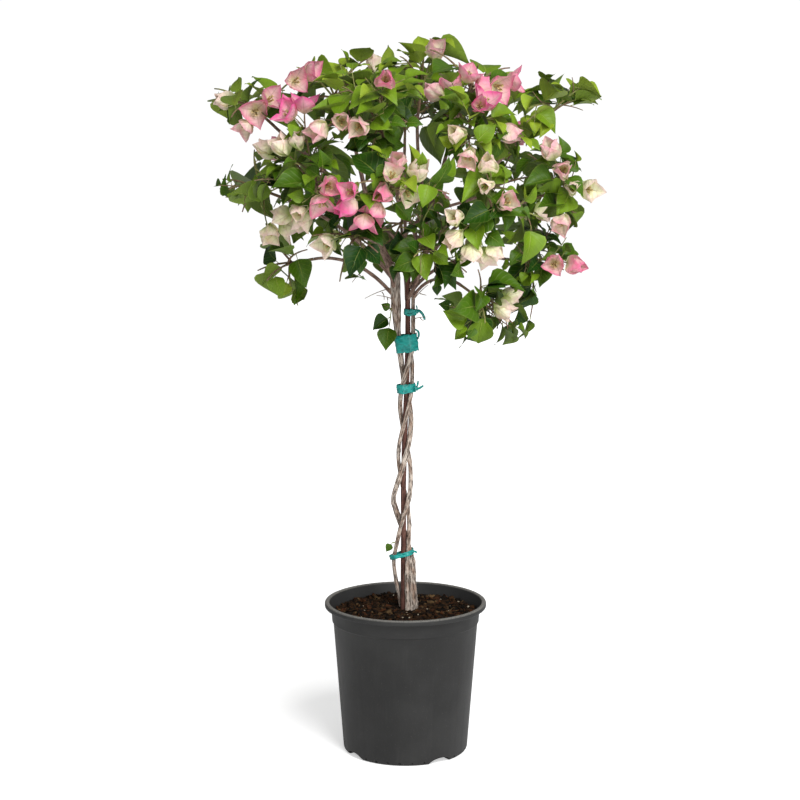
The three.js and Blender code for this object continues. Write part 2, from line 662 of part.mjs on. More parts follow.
// Leaves in a spiral along a shoot, the last one at its end unless blossom takes that place.
function leavesAlong(curve, centre, random, fits, blossomed) {
  const plane = planeOf(curve);
  const count = Math.max(2, Math.round(curve.getLength() / leafSpacing));
  const first = random() * 2 * Math.PI;
  const nodes = [];
  let endBlade = null;
  for (let k = 0; k < count; k += 1) {
    const last = k === count - 1;
    const part = last ? 1 : 0.26 + 0.7 * (k + 0.6) / count;
    const draws = Array.from({ length: 5 }, random);
    if (last && blossomed) break;
    const tangent = curve.getTangent(part);
    const side = twigSide(tangent, plane, first + k * radians(137.5));
    const place = curve.getPoint(part).addScaledVector(side, last ? 0 : twig.tip / 2);
    const spread = last ? 0.2 : radians(52 + 24 * draws[0]);
    const facing = up.clone().multiplyScalar(0.5)
      .addScaledVector(place.clone().sub(hub).normalize(), 0.5)
      .addScaledVector(place.clone().sub(centre).normalize(), 0.5)
      .add(point(draws[2] - 0.5, draws[3] - 0.5, 0).multiplyScalar(0.9));
    const size = THREE.MathUtils.lerp(leafLength.least, leafLength.most, draws[4]) * (last ? 0.85 : 1);
    const blade = firstFitting([[1, 1], [1, 0], [0.8, 1], [0.8, 0], [0.62, 0]], (scale, droop) => {
      const along = tangent.clone().multiplyScalar(Math.cos(spread)).addScaledVector(side, Math.sin(spread));
      along.z -= droop * (0.2 + 0.4 * draws[1]) * (last ? 0.3 : 1);
      const length = size * scale;
      const [width, fold, sag] = [length * leafWidth, length * 0.09, length * 0.1];
      return makeBlade(place, along.normalize(), facing, length, width, fold, sag);
    }, (candidate) => fits(candidate, nodes.flatMap((node) => node.blades), last ? null : part));
    if (blade && last) endBlade = blade;
    else if (blade) nodes.push({ part, turn: first + k * radians(17.5), blades: onSide(k, blade) });
  }
  return { nodes, endBlade };
}

// A blade on one of a twig's three sides.
function onSide(k, blade) {
  return [0, 1, 2].map((side) => (side === k % 3 ? blade : null));
}

// Three papery bracts round the end of a shoot, one on each side of its last band.
function bractsAt(curve, random, fits) {
  const plane = planeOf(curve);
  const part = 1 - twig.band / curve.getLength();
  const tangent = curve.getTangent(part);
  const turn = random() * 2 * Math.PI;
  const blades = [];
  for (let k = 0; k < 3; k += 1) {
    const side = twigSide(tangent, plane, turn + k * radians(120));
    const place = curve.getPoint(part).addScaledVector(side, twig.tip / 2);
    const along = tangent.clone().multiplyScalar(0.62).addScaledVector(side, 0.78).normalize();
    const facing = tangent.clone().addScaledVector(side, -0.8);
    const bract = makeBlade(place, along, facing, bractLength, bractLength * 0.86, 4, -3);
    blades.push(fits(bract, blades, part) ? bract : null);
  }
  return { part, turn, blades };
}

function spiralTarget(index, k, count, random) {
  const axis = enterDirection(index);
  const polarTurn = Math.acos(1 - 1.55 * (k + 0.5) / count);
  const side = sideways(axis, k * radians(137.5) + random() * 0.6);
  const heading = axis.multiplyScalar(Math.cos(polarTurn)).addScaledVector(side, Math.sin(polarTurn));
  return centres[index].clone().addScaledVector(heading, shootReach);
}

// The straight pieces that stand for a shoot where blades are tested against it, but for the
// stretch close to the blade's own node.
function twigEdges(curve, node) {
  const skip = 4 / curve.getLength();
  const cuts = node === null ? [[0, 1]] : [[0, node - skip], [node + skip, 1]];
  return cuts.filter(([from, to]) => to - from > 0.05).flatMap(([from, to]) => {
    const places = [0, 1, 2, 3].map((k) => curve.getPoint(from + (to - from) * k / 3));
    return places.slice(1).map((place, k) => [places[k], place]);
  });
}

function growMass(index) {
  const random = seeded(700 + index);
  const enter = enterDirection(index);
  const centre = centres[index];
  const start = centre.clone().addScaledVector(enter, gap - stemLength);
  const own = (list) => list.map((place) => point(...place)).filter((place) => inOwnSpace(place, index));
  const blossomEnds = own(blossoms);
  const tipEnds = own(tips).map((tip) => tip.addScaledVector(tip.clone().sub(centre).normalize(), -tipLeaf));
  const targets = [...blossomEnds, ...tipEnds];
  const free = Math.max(leastFreeShoots, shootsPerMass - targets.length);
  for (let k = 0; k < free; k += 1) targets.push(spiralTarget(index, k, free, random));
  const shoots = targets.map((target, k) => {
    const root = start.clone().lerp(centre, 0.4 + 0.58 * (k + 0.5) / targets.length);
    return { curve: shootCurve(root, target, enter, index), blossomed: k < blossomEnds.length };
  }).filter((shoot) => shoot.curve);
  const blades = [];
  const twigs = shoots.map(({ curve, blossomed }) => {
    const others = shoots.filter((other) => other.curve !== curve)
      .map((other) => twigEdges(other.curve, null));
    const fits = (blade, mates, node) => {
      const near = node === null ? others : [...others, twigEdges(curve, node)];
      return bladeFits(blade, index, near, [...blades, ...mates.filter(Boolean)]);
    };
    const blossom = blossomed ? bractsAt(curve, random, fits) : null;
    const grown = blossom ? blossom.blades.filter(Boolean) : [];
    const withBlossom = (blade, mates, node) => fits(blade, [...grown, ...mates], node);
    const { nodes, endBlade } = leavesAlong(curve, centre, random, withBlossom, blossomed);
    if (blossom) nodes.push(blossom);
    if (!nodes.length) nodes.push({ part: 0.5, turn: 0, blades: [] });
    blades.push(...nodes.flatMap((node) => node.blades.filter(Boolean)));
    if (endBlade) blades.push(endBlade);
    return twigSolid(curve, nodes, endBlade);
  });
  const stem = taperedRod(new THREE.LineCurve3(start, centre), boughTip, 2, 5, 1);
  return mainBody(wasm.Manifold.union([stem, ...twigs]));
}

// A sprig stands 0.3 mm off the side of its stem and carries leaves at given angles and lengths.
function growSprig(sprig) {
  const stem = stems.find((other) => other.name === sprig.from);
  const side = polar(sprig.turn, 1, 0);
  const root = stemMiddle(stem, sprig.z).addScaledVector(side, atStation(stem.radius, sprig.z) + gap + 0.7);
  const end = root.clone().add(point(...sprig.run));
  const curve = new THREE.LineCurve3(root, end);
  const blades = sprig.leaves.map(([turn, lean, length], k) => {
    const along = point(Math.cos(radians(turn)), lean, Math.sin(radians(turn))).normalize();
    const place = curve.getPoint(1 - 0.4 * k);
    return makeBlade(place, along, point(-0.2, -1, 0.3), length, length * 0.78, length * 0.08, 2);
  });
  const nodes = blades.slice(1).map((blade, k) => (
    { part: 0.6 - 0.4 * k, turn: 0, blades: onSide(k, blade) })).reverse();
  return twigSolid(curve, nodes.length ? nodes : [{ part: 0.5, turn: 0, blades: [] }], blades[0]);
}

// ---- the whole plant ----

const plant = new THREE.Group();
plant.add(meshFrom('pot', makePot(), paint.pot));
plant.add(meshFrom('soil', makeSoil(), paint.soil));

const leaderSolid = growStem(leader.name, leaderMiddle, leader.radius, leader.top, 8, leaderSteps);
plant.add(meshFrom(leader.name, leaderSolid, paint.leader));
for (const stem of stems) {
  const middleAt = (z) => stemMiddle(stem, z);
  const solid = growStem(stem.name, middleAt, stem.radius, stem.top, stem.sides, stemSteps);
  plant.add(meshFrom(stem.name, solid, paint.bark));
}
for (const tie of ties) plant.add(meshFrom(tie.name, makeTie(tie), paint.tie));

// Each limb with its clearance, which the later boughs are cut against.
const grown = [...limbs.values()].map(({ curve, radiusAt }) => (
  bentRod(curve, (part) => [radiusAt(part) + gap, radiusAt(part) + gap], 8, stemSteps)));

masses.forEach((mass, index) => {
  const name = `bough_${mass.name}`;
  const curve = boughCurve(mass, index);
  const rod = taperedRod(curve, mass.root, boughTip, 5, 5);
  plant.add(meshFrom(name, cutClear(rod, grown), paint.bough));
  grown.push(taperedRod(curve, mass.root + gap * 1.6, boughTip + gap * 1.6, 5, 5));
  addLimb(name, curve, (part) => THREE.MathUtils.lerp(mass.root, boughTip, part), 40);
});

masses.forEach((mass, index) => plant.add(meshFrom(`foliage_${mass.name}`, growMass(index), paint.leaf)));
for (const sprig of sprigs) plant.add(meshFrom(sprig.name, growSprig(sprig), paint.leaf));

export default plant;
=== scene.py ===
# A potted bougainvillea standard: grown foliage, barked limbs, tape ties, potting mix and pot.
import math
import bmesh
import bpy
from mathutils import Matrix, Vector, noise
from mathutils.bvhtree import BVHTree
from mathutils.geometry import closest_point_on_tri, convex_hull_2d
from mathutils.kdtree import KDTree


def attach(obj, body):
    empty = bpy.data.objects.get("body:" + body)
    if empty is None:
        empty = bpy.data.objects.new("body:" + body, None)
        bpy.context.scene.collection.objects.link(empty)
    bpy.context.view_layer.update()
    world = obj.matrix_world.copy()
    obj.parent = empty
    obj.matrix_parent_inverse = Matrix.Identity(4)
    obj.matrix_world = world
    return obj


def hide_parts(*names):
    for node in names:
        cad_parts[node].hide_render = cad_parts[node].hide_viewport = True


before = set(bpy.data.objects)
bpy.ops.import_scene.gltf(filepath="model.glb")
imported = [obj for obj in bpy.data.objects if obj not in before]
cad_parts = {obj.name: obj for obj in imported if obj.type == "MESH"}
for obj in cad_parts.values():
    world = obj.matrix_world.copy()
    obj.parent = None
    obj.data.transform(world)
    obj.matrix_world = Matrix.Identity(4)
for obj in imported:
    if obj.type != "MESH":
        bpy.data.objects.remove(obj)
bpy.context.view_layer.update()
mm = 0.001  # shapes are worked out in millimetres and scaled down as each piece is made
up = Vector((0, 0, 1))
gap = 0.3
fullTurn = 2 * math.pi
spiralStep = math.radians(137.5)
curveSteps = 160  # how finely a curve is measured


# Repeatable numbers from 0 to 1, the same stream as the solids were grown from.
def seeded(seed):
    state = seed
    whole = 0xFFFFFFFF

    def draw():
        nonlocal state
        state = (state + 0x6D2B79F5) & whole
        mix = ((state ^ (state >> 15)) * (1 | state)) & whole
        mix = ((mix + (((mix ^ (mix >> 7)) * (61 | mix)) & whole)) & whole) ^ mix
        return ((mix ^ (mix >> 14)) & whole) / (whole + 1)

    return draw


def mixed(low, high, part):
    return low + (high - low) * part


def polar(turn, out, height):
    angle = math.radians(turn)
    return Vector((out * math.cos(angle), out * math.sin(angle), height))


# ---- materials ----


# Fills a node's inputs, by name or number, with plain values or with other nodes' outputs.
def feed(tree, node, values):
    for name, value in values.items():
        socket = node.inputs[name]
        if isinstance(value, tuple):
            socket.default_value = (*value, 1) if socket.type == "RGBA" else value
        elif isinstance(value, (int, float)):
            socket.default_value = value
        else:
            tree.links.new(value, socket)


def addNode(tree, kind, values=None, **settings):
    node = tree.nodes.new("ShaderNode" + kind)
    for key, value in settings.items():
        setattr(node, key, value)
    feed(tree, node, values or {})
    return node


def newMaterial(name, colour, roughness):
    material = bpy.data.materials.new(name)
    material.use_nodes = True
    tree = material.node_tree
    feed(tree, tree.nodes["Principled BSDF"], {"Base Color": colour, "Roughness": roughness})
    return material, tree


# Gives a material its colour, gloss and relief.
def dress(material, colour, specular, relief, distance, strength=1.0, **more):
    tree = material.node_tree
    bump = addNode(tree, "Bump", {"Height": relief, "Distance": distance, "Strength": strength})
    look = {"Base Color": colour, "Specular IOR Level": specular, "Normal": bump.outputs["Normal"], **more}
    feed(tree, tree.nodes["Principled BSDF"], look)
    return material


def maths(tree, operation, *values):
    return addNode(tree, "Math", dict(enumerate(values)), operation=operation).outputs[0]


def times(tree, *values):
    return maths(tree, "MULTIPLY", *values)


def plus(tree, *values):
    return maths(tree, "ADD", *values)


def minus(tree, *values):
    return maths(tree, "SUBTRACT", *values)


mixInputs = (0, 6, 7)  # the factor and the two colours among a Mix node's inputs


def mixColours(tree, *values):
    return addNode(tree, "Mix", dict(zip(mixInputs, values)), data_type="RGBA").outputs[2]


def spread(tree, value, low, high):
    values = {"Value": value, "From Min": low, "From Max": high}
    return addNode(tree, "MapRange", values, interpolation_type="SMOOTHSTEP").outputs["Result"]


def noiseAt(tree, vector, scale, detail, roughness=0.55):
    values = {"Vector": vector, "Scale": scale, "Detail": detail, "Roughness": roughness}
    return addNode(tree, "TexNoise", values).outputs["Fac"]


def stretched(tree, vector, scale):
    return addNode(tree, "Mapping", {"Vector": vector, "Scale": scale}).outputs["Vector"]


def objectSpace(tree):
    return addNode(tree, "TexCoord").outputs["Object"]


def newGroup(name, **inputs):
    group = bpy.data.node_groups.new(name, "ShaderNodeTree")
    for label, value in inputs.items():
        socket = group.interface.new_socket(label, in_out="INPUT", socket_type="NodeSocketFloat")
        socket.default_value = value
    return group, group.nodes.new("NodeGroupInput").outputs


def closeGroup(group, **outputs):
    for label in outputs:
        group.interface.new_socket(label, in_out="OUTPUT", socket_type="NodeSocketFloat")
    feed(group, group.nodes.new("NodeGroupOutput"), outputs)
    return group


def placeGroup(tree, group, **values):
    return addNode(tree, "Group", values, node_tree=group).outputs


# Midrib and side veins of a blade from its own UV map: u runs across it and v from its base.
def makeVeins():
    group, given = newGroup("bladeVeins", Pairs=7.0, Slant=3.4, Width=0.03)
    place = addNode(group, "SeparateXYZ", {0: addNode(group, "UVMap", uv_map="blade").outputs["UV"]})
    across, along = place.outputs["X"], place.outputs["Y"]
    off = maths(group, "ABSOLUTE", minus(group, across, 0.5))
    thin = times(group, given["Width"], minus(group, 1.15, along))
    rib = minus(group, 1.0, maths(group, "MINIMUM", maths(group, "DIVIDE", off, thin), 1.0))
    slanted = minus(group, times(group, along, given["Pairs"]), times(group, off, given["Slant"]))
    wave = maths(group, "ABSOLUTE", minus(group, maths(group, "FRACT", slanted), 0.5))
    vein = maths(group, "MAXIMUM", minus(group, 1.0, times(group, wave, 9.0)), 0.0)
    return closeGroup(group, Rib=rib, Vein=vein, Along=along, Edge=off)


# Long cracks and soft patches that run with the wood of a limb.
def makeGrain():
    group, given = newGroup("woodGrain", Size=1.0)
    held = addNode(group, "Attribute", attribute_name="grainSpace").outputs["Vector"]
    scaled = addNode(group, "VectorMath", {0: held, "Scale": given["Size"]}, operation="SCALE")
    space = scaled.outputs["Vector"]
    return closeGroup(
        group,
        Crack=noiseAt(group, stretched(group, space, (1, 1, 0.17)), 0.5, 5, 0.66),
        Patch=noiseAt(group, stretched(group, space, (1, 1, 0.35)), 0.13, 2),
        Fine=noiseAt(group, stretched(group, space, (1, 1, 0.3)), 2.6, 4, 0.7),
    )


veins = makeVeins()
grain = makeGrain()


# Thin blades let part of the light through, in the colour of the blade.
def letThrough(tree, colour, part):
    through = addNode(tree, "BsdfTranslucent", {"Color": colour}).outputs["BSDF"]
    solid = tree.nodes["Principled BSDF"].outputs["BSDF"]
    both = addNode(tree, "MixShader", {"Fac": part, 1: solid, 2: through})
    feed(tree, tree.nodes["Material Output"], {"Surface": both.outputs["Shader"]})


leafTints = {  # upper-side colour, how pale its veins are, roughness
    "leafYoung": {"colour": (0.262, 0.372, 0.022), "vein": 0.12, "roughness": 0.48},
    "leafFresh": {"colour": (0.142, 0.247, 0.009), "vein": 0.14, "roughness": 0.46},
    "leafGreen": {"colour": (0.056, 0.130, 0.003), "vein": 0.18, "roughness": 0.44},
    "leafDeep": {"colour": (0.019, 0.066, 0.002), "vein": 0.18, "roughness": 0.44},
    "leafBlue": {"colour": (0.012, 0.056, 0.004), "vein": 0.18, "roughness": 0.44},
}


def leafMaterial(name, tint):
    material, tree = newMaterial(name, tint["colour"], tint["roughness"])
    lines = placeGroup(tree, veins, Pairs=6.0, Slant=4.2, Width=0.032)
    pale = tuple(mixed(one, 0.46 * light, 0.4) for one, light in zip(tint["colour"], (1, 1.15, 0.24)))
    dark = tuple(one * 0.74 for one in tint["colour"])
    patch = noiseAt(tree, objectSpace(tree), 38, 3)
    blotched = mixColours(tree, spread(tree, patch, 0.36, 0.68), dark, tint["colour"])
    under = tuple(mixed(one, 0.22 * light, 0.5) for one, light in zip(tint["colour"], (0.8, 1.1, 0.20)))
    sides = addNode(tree, "NewGeometry").outputs["Backfacing"]
    both = mixColours(tree, sides, blotched, under)
    ribbed = mixColours(tree, times(tree, lines["Rib"], 0.85), both, pale)
    veined = mixColours(tree, times(tree, lines["Vein"], tint["vein"]), ribbed, pale)
    # A pale line along the blade's margin: a painted highlight.
    rim = times(tree, spread(tree, lines["Edge"], 0.44, 0.49), 0.3)
    rimHighlighted = mixColours(tree, rim, veined, pale)
    relief = plus(tree, times(tree, lines["Rib"], 0.8), times(tree, lines["Vein"], 0.35))
    return dress(material, rimHighlighted, 0.24, relief, 0.0012, 0.7)


bractTints = {  # colour at the foot, in the middle and along the rim
    "bractCream": {"foot": (0.56, 0.68, 0.20), "body": (0.96, 0.95, 0.66), "rim": (0.95, 0.76, 0.68)},
    "bractBlush": {"foot": (0.66, 0.72, 0.30), "body": (0.96, 0.87, 0.70), "rim": (0.93, 0.52, 0.58)},
    "bractPink": {"foot": (0.86, 0.84, 0.52), "body": (0.93, 0.60, 0.60), "rim": (0.89, 0.27, 0.44)},
    "bractRose": {"foot": (0.90, 0.74, 0.60), "body": (0.90, 0.47, 0.56), "rim": (0.87, 0.15, 0.40)},
}


def bractMaterial(name, tint):
    material, tree = newMaterial(name, tint["body"], 0.6)
    lines = placeGroup(tree, veins, Pairs=5.0, Slant=3.0, Width=0.05)
    cloud = noiseAt(tree, objectSpace(tree), 60, 3)
    rise = plus(tree, lines["Along"], times(tree, minus(tree, cloud, 0.5), 0.5))
    lower = mixColours(tree, spread(tree, rise, 0.02, 0.42), tint["foot"], tint["body"])
    outer = times(tree, plus(tree, rise, lines["Edge"]), 0.8)
    body = mixColours(tree, spread(tree, outer, 0.42, 0.95), lower, tint["rim"])
    ribColour = tuple(mixed(one, other, 0.6) for one, other in zip(tint["body"], (0.42, 0.26, 0.12)))
    ribbed = mixColours(tree, times(tree, lines["Rib"], 0.62), body, ribColour)
    veined = mixColours(tree, times(tree, lines["Vein"], 0.34), ribbed, ribColour)
    letThrough(tree, veined, 0.38)
    return dress(material, veined, 0.25, plus(tree, lines["Vein"], lines["Rib"]), 0.0009, 0.6)


barks = {  # ridge, hollow and worn colours; the size of the grain; bump in metres
    "braidBark": {"ridge": (0.56, 0.48, 0.41), "hollow": (0.125, 0.086, 0.066), "worn": (0.36, 0.25, 0.19),
                  "size": 1.0, "bump": 0.0016, "crack": (0.37, 0.52)},
    # The leader's bark is dark red-brown, and its colours are darkened further to paint the shade it stands
    # in between the braided stems.
    "leaderBarkShaded": {"ridge": (0.115, 0.046, 0.034), "hollow": (0.03, 0.014, 0.012), "worn": (0.17, 0.08, 0.06),
                   "size": 0.8, "bump": 0.0005, "crack": (0.30, 0.60)},
    "boughBark": {"ridge": (0.27, 0.17, 0.13), "hollow": (0.085, 0.048, 0.040), "worn": (0.38, 0.26, 0.20),
                  "size": 1.3, "bump": 0.0006, "crack": (0.32, 0.60)},
    "twigBark": {"ridge": (0.26, 0.15, 0.10), "hollow": (0.10, 0.06, 0.04), "worn": (0.25, 0.24, 0.09),
                 "size": 2.0, "bump": 0.0003, "crack": (0.30, 0.62)},
    "greenTwig": {"ridge": (0.25, 0.30, 0.085), "hollow": (0.13, 0.14, 0.04), "worn": (0.33, 0.25, 0.10),
                  "size": 2.0, "bump": 0.0002, "crack": (0.30, 0.62)},
}


def barkMaterial(name, look):
    material, tree = newMaterial(name, look["ridge"], 0.8)
    wood = placeGroup(tree, grain, Size=look["size"])
    worn = mixColours(tree, spread(tree, wood["Patch"], 0.42, 0.64), look["ridge"], look["worn"])
    cracks = spread(tree, wood["Crack"], *look["crack"])
    cracked = mixColours(tree, cracks, look["hollow"], worn)
    flecks = times(tree, spread(tree, wood["Fine"], 0.58, 0.75), 0.35)
    flecked = mixColours(tree, flecks, cracked, look["hollow"])
    height = plus(tree, cracks, times(tree, wood["Fine"], 0.35))
    return dress(material, flecked, 0.3, height, look["bump"])


def potMaterial():
    material, tree = newMaterial("pottedPlastic", (0.05, 0.05, 0.053), 0.55)
    place = objectSpace(tree)
    cloud = noiseAt(tree, place, 9, 4)
    streak = noiseAt(tree, stretched(tree, place, (60, 60, 5)), 1.0, 4, 0.6)
    dust = noiseAt(tree, place, 420, 2)
    toned = mixColours(tree, spread(tree, cloud, 0.35, 0.7), (0.021, 0.021, 0.0208), (0.031, 0.031, 0.0306))
    streaks = times(tree, spread(tree, streak, 0.52, 0.8), 0.25)
    streaked = mixColours(tree, streaks, toned, (0.052, 0.051, 0.049))
    specks = times(tree, spread(tree, dust, 0.62, 0.8), 0.18)
    dusted = mixColours(tree, specks, streaked, (0.13, 0.12, 0.11))
    # Paler in patches along the top of the lip: partly wear, and partly a painted highlight where the top of
    # the lip faces the light.
    height = addNode(tree, "SeparateXYZ", {0: place}).outputs["Z"]
    worn = times(tree, spread(tree, height, 0.2352, 0.2384), spread(tree, dust, 0.1, 0.6))
    lipWornAndLit = mixColours(tree, times(tree, worn, 0.8), dusted, (0.25, 0.24, 0.22))
    roughness = plus(tree, times(tree, streak, 0.22), 0.4)
    return dress(material, lipWornAndLit, 0.22, dust, 0.0002, 0.5, Roughness=roughness)


def crumbMaterial(name, light, dark):
    material, tree = newMaterial(name, light, 0.92)
    place = objectSpace(tree)
    toned = mixColours(tree, spread(tree, noiseAt(tree, place, 150, 4), 0.35, 0.66), dark, light)
    return dress(material, toned, 0.1, noiseAt(tree, place, 520, 4, 0.7), 0.0012)


def tapeMaterial():
    material, tree = newMaterial("tieTape", (0.012, 0.30, 0.265), 0.34)
    place = objectSpace(tree)
    folds = noiseAt(tree, stretched(tree, place, (130, 130, 210)), 1.0, 3)
    # Darker teal in the hollows of the folds and paler on their crests: painted shading of the folds.
    toned = mixColours(tree, spread(tree, folds, 0.3, 0.7), (0.005, 0.20, 0.18), (0.010, 0.35, 0.31))
    roughness = plus(tree, times(tree, folds, 0.25), 0.22)
    return dress(material, toned, 0.5, folds, 0.0012, Roughness=roughness)


leafMaterials = [leafMaterial(name, tint) for name, tint in leafTints.items()]
bractMaterials = [bractMaterial(name, tint) for name, tint in bractTints.items()]
barkMaterials = {name: barkMaterial(name, look) for name, look in barks.items()}
mixDark = crumbMaterial("mixDark", (0.026, 0.015, 0.009), (0.007, 0.005, 0.004))
print("materials made")


# ---- making pieces ----


def placed(name, data):
    made = bpy.data.objects.new(name, data)
    bpy.context.collection.objects.link(made)
    return made


def finishPiece(name, bm, materials, replaced=()):
    bmesh.ops.scale(bm, vec=(mm, mm, mm), verts=bm.verts)
    mesh = bpy.data.meshes.new(name)
    for face in bm.faces:
        face.smooth = True
    bm.to_mesh(mesh)
    bm.free()
    for material in materials:
        mesh.materials.append(material)
    piece = placed(name, mesh)
    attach(piece, "root")
    if replaced:
        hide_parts(*replaced)


def shapeFrom(bm):
    shape = bpy.data.meshes.new("shape")
    bm.to_mesh(shape)
    bm.free()
    return shape


# Moves a mesh into the piece, in one of the piece's materials.
def absorb(bm, mesh, material=0):
    mesh.polygons.foreach_set("material_index", [material] * len(mesh.polygons))
    bm.from_mesh(mesh)
    bpy.data.meshes.remove(mesh)


def addShape(bm, shape, place, material=0):
    copy = shape.copy()
    copy.transform(place)
    absorb(bm, copy, material)


def axes(across, along, normal, place):
    turned = Matrix((across, along, normal)).transposed().to_4x4()
    return Matrix.Translation(place) @ turned


# An upright rod of radius 1 and height 1, cut into rings.
def rodShape(sides, rings, capped=True):
    bm = bmesh.new()
    bmesh.ops.create_cone(bm, cap_ends=capped, segments=sides, radius1=1, radius2=1, depth=1)
    bmesh.ops.translate(bm, vec=(0, 0, 0.5), verts=bm.verts)
    upright = [edge for edge in bm.edges if abs(edge.verts[0].co.z - edge.verts[1].co.z) > 0.5]
    bmesh.ops.subdivide_edges(bm, edges=upright, cuts=rings - 1, use_grid_fill=True)
    return shapeFrom(bm)


def sideOf(direction):
    level = Vector((1, 0, 0)) if abs(direction.z) > 0.95 else up
    return direction.cross(level).normalized()


# Bends a rod shape along a path that has one point for each ring. The relief gives each place's
# own radius from its turn, its distance along and the plain radius.
def addRod(bm, shape, points, radii, relief, material=0):
    rings = len(points) - 1
    tangents = [(points[min(k + 1, rings)] - points[max(k - 1, 0)]).normalized() for k in range(rings + 1)]
    normal = sideOf(tangents[0])
    frames, walked = [], 0.0
    for k, tangent in enumerate(tangents):
        normal = (normal - tangent * normal.dot(tangent)).normalized()
        frames.append((normal, tangent.cross(normal), walked))
        walked += (points[min(k + 1, rings)] - points[k]).length
    rod = shape.copy()
    space = rod.attributes.new("grainSpace", "FLOAT_VECTOR", "POINT")
    for vertex, held in zip(rod.vertices, space.data):
        k = round(vertex.co.z * rings)
        first, second, along = frames[k]
        x, y = vertex.co.x, vertex.co.y
        radius = radii[k] if relief is None else relief(math.atan2(y, x), along, radii[k])
        held.vector = (x * radii[k], y * radii[k], along)
        vertex.co = points[k] + first * (x * radius) + second * (y * radius)
    absorb(bm, rod, material)


# A rod along a curve that tapers evenly from its root to its tip.
def addTwig(bm, shape, curve, root, tip, rings, relief=None, material=0):
    points = [curve(k / rings) for k in range(rings + 1)]
    addRod(bm, shape, points, [mixed(root, tip, k / rings) for k in range(rings + 1)], relief, material)


# Points an even distance apart along a curve given from 0 to 1.
def evenly(curve, count):
    dense = [curve(k / curveSteps) for k in range(curveSteps + 1)]
    walked = [0.0]
    for one, other in zip(dense, dense[1:]):
        walked.append(walked[-1] + (other - one).length)
    points, k = [], 0
    for step in range(count + 1):
        wanted = walked[-1] * step / count
        while k < curveSteps - 1 and walked[k + 1] < wanted:
            k += 1
        part = (wanted - walked[k]) / max(walked[k + 1] - walked[k], 1e-9)
        points.append(dense[k].lerp(dense[k + 1], min(part, 1)))
    return points


# ---- the limbs ----

stations = [222, 300, 345, 400, 450, 510, 590, 625, 660, 700, 770]
leader = {
    "name": "leader_stem", "baseX": -3.2, "topX": 3.4, "leanFrom": 400, "leanTo": 670, "top": 770,
    "radius": [4.4, 4.3, 4.2, 4.2, 4.1, 4.1, 4.0, 4.0, 4.0, 3.9, 3.8],
}
stems = [
    {
        "name": "braid_stem_thick", "top": 768,
        "turn": [0, 20, 85, 180, 255, 350, 480, 530, 540, 540, 540],
        "reach": [15.3, 13.8, 10.8, 15.5, 10.2, 8.9, 8.8, 10.5, 15, 18.5, 20.5],
        "radius": [7.0, 5.5, 4.6, 4.2, 4.0, 4.0, 4.0, 4.2, 5.2, 7.2, 7.2],
    },
    {
        "name": "braid_stem_slim", "top": 742,
        "turn": [-45, -50, 5, 65, 140, 240, 370, 400, 450, 460, 470],
        "reach": [8.6, 8.3, 8.5, 11.5, 9.4, 8.3, 8.1, 8.1, 8.3, 8.4, 8.8],
        "radius": [3.6, 3.3, 3.2, 3.2, 3.1, 3.1, 3.1, 3.0, 3.0, 3.0, 2.9],
    },
    {
        "name": "braid_stem_looped", "top": 736,
        "turn": [110, 180, 230, 305, 370, 470, 600, 660, 700, 710, 720],
        "reach": [8.3, 15.8, 11.5, 13.8, 9.8, 8.6, 9.6, 9.2, 8.7, 8.5, 8.5],
        "radius": [3.2, 2.9, 3.2, 3.5, 3.4, 3.3, 3.6, 3.5, 3.3, 3.1, 2.9],
    },
]
trunk = {"foot": 216.3, "keys": 30, "rings": 180, "sides": 18, "samples": 140}


# The value at a height, straight between the values given at some heights.
def between(heights, values, z):
    k = 0
    while k < len(heights) - 2 and z > heights[k + 1]:
        k += 1
    return mixed(values[k], values[k + 1], (z - heights[k]) / (heights[k + 1] - heights[k]))


def atStation(values, z):
    return between(stations, values, z)


def leaderMiddle(z):
    part = min(max((z - leader["leanFrom"]) / (leader["leanTo"] - leader["leanFrom"]), 0), 1)
    lean = part * part * (3 - 2 * part)
    return Vector((mixed(leader["baseX"], leader["topX"], lean), 0, z))


def stemMiddle(stem, z):
    turn, reach = math.radians(atStation(stem["turn"], z)), atStation(stem["reach"], z)
    return leaderMiddle(z) + Vector((reach * math.cos(turn), reach * math.sin(turn), 0))


# A smooth curve through even key points.
def throughKeys(keys):
    last = len(keys) - 1

    def curve(part):
        k = min(int(part * last), last - 1)
        t = part * last - k
        a, b, c, d = keys[max(k - 1, 0)], keys[k], keys[k + 1], keys[min(k + 2, last)]
        bent = b + (c - a) * (t / 2) + (a * 2 - b * 5 + c * 4 - d) * (t * t / 2)
        return bent + (b * 3 - a - c * 3 + d) * (t ** 3 / 2)

    return curve


limbs = {}  # every limb's points, evenly spaced along it, and their radii


def addLimb(name, curve, radiusOf, samples):
    points = evenly(curve, samples)
    radii = [radiusOf(point, k / samples) for k, point in enumerate(points)]
    limbs[name] = {"points": points, "radii": radii}


def limbPoint(name, part):
    points = limbs[name]["points"]
    place = part * (len(points) - 1)
    k = min(int(place), len(points) - 2)
    return points[k].lerp(points[k + 1], place - k)


def stemCurve(middleAt, top):
    keys = [middleAt(mixed(trunk["foot"], top, k / trunk["keys"])) for k in range(trunk["keys"] + 1)]
    return throughKeys(keys)


stemCurves = {leader["name"]: stemCurve(leaderMiddle, leader["top"])}
for stem in stems:
    stemCurves[stem["name"]] = stemCurve(lambda z, stem=stem: stemMiddle(stem, z), stem["top"])
stemRadii = {stem["name"]: stem["radius"] for stem in [leader, *stems]}
for name, curve in stemCurves.items():
    addLimb(name, curve, lambda point, _, name=name: atStation(stemRadii[name], point.z), trunk["samples"])

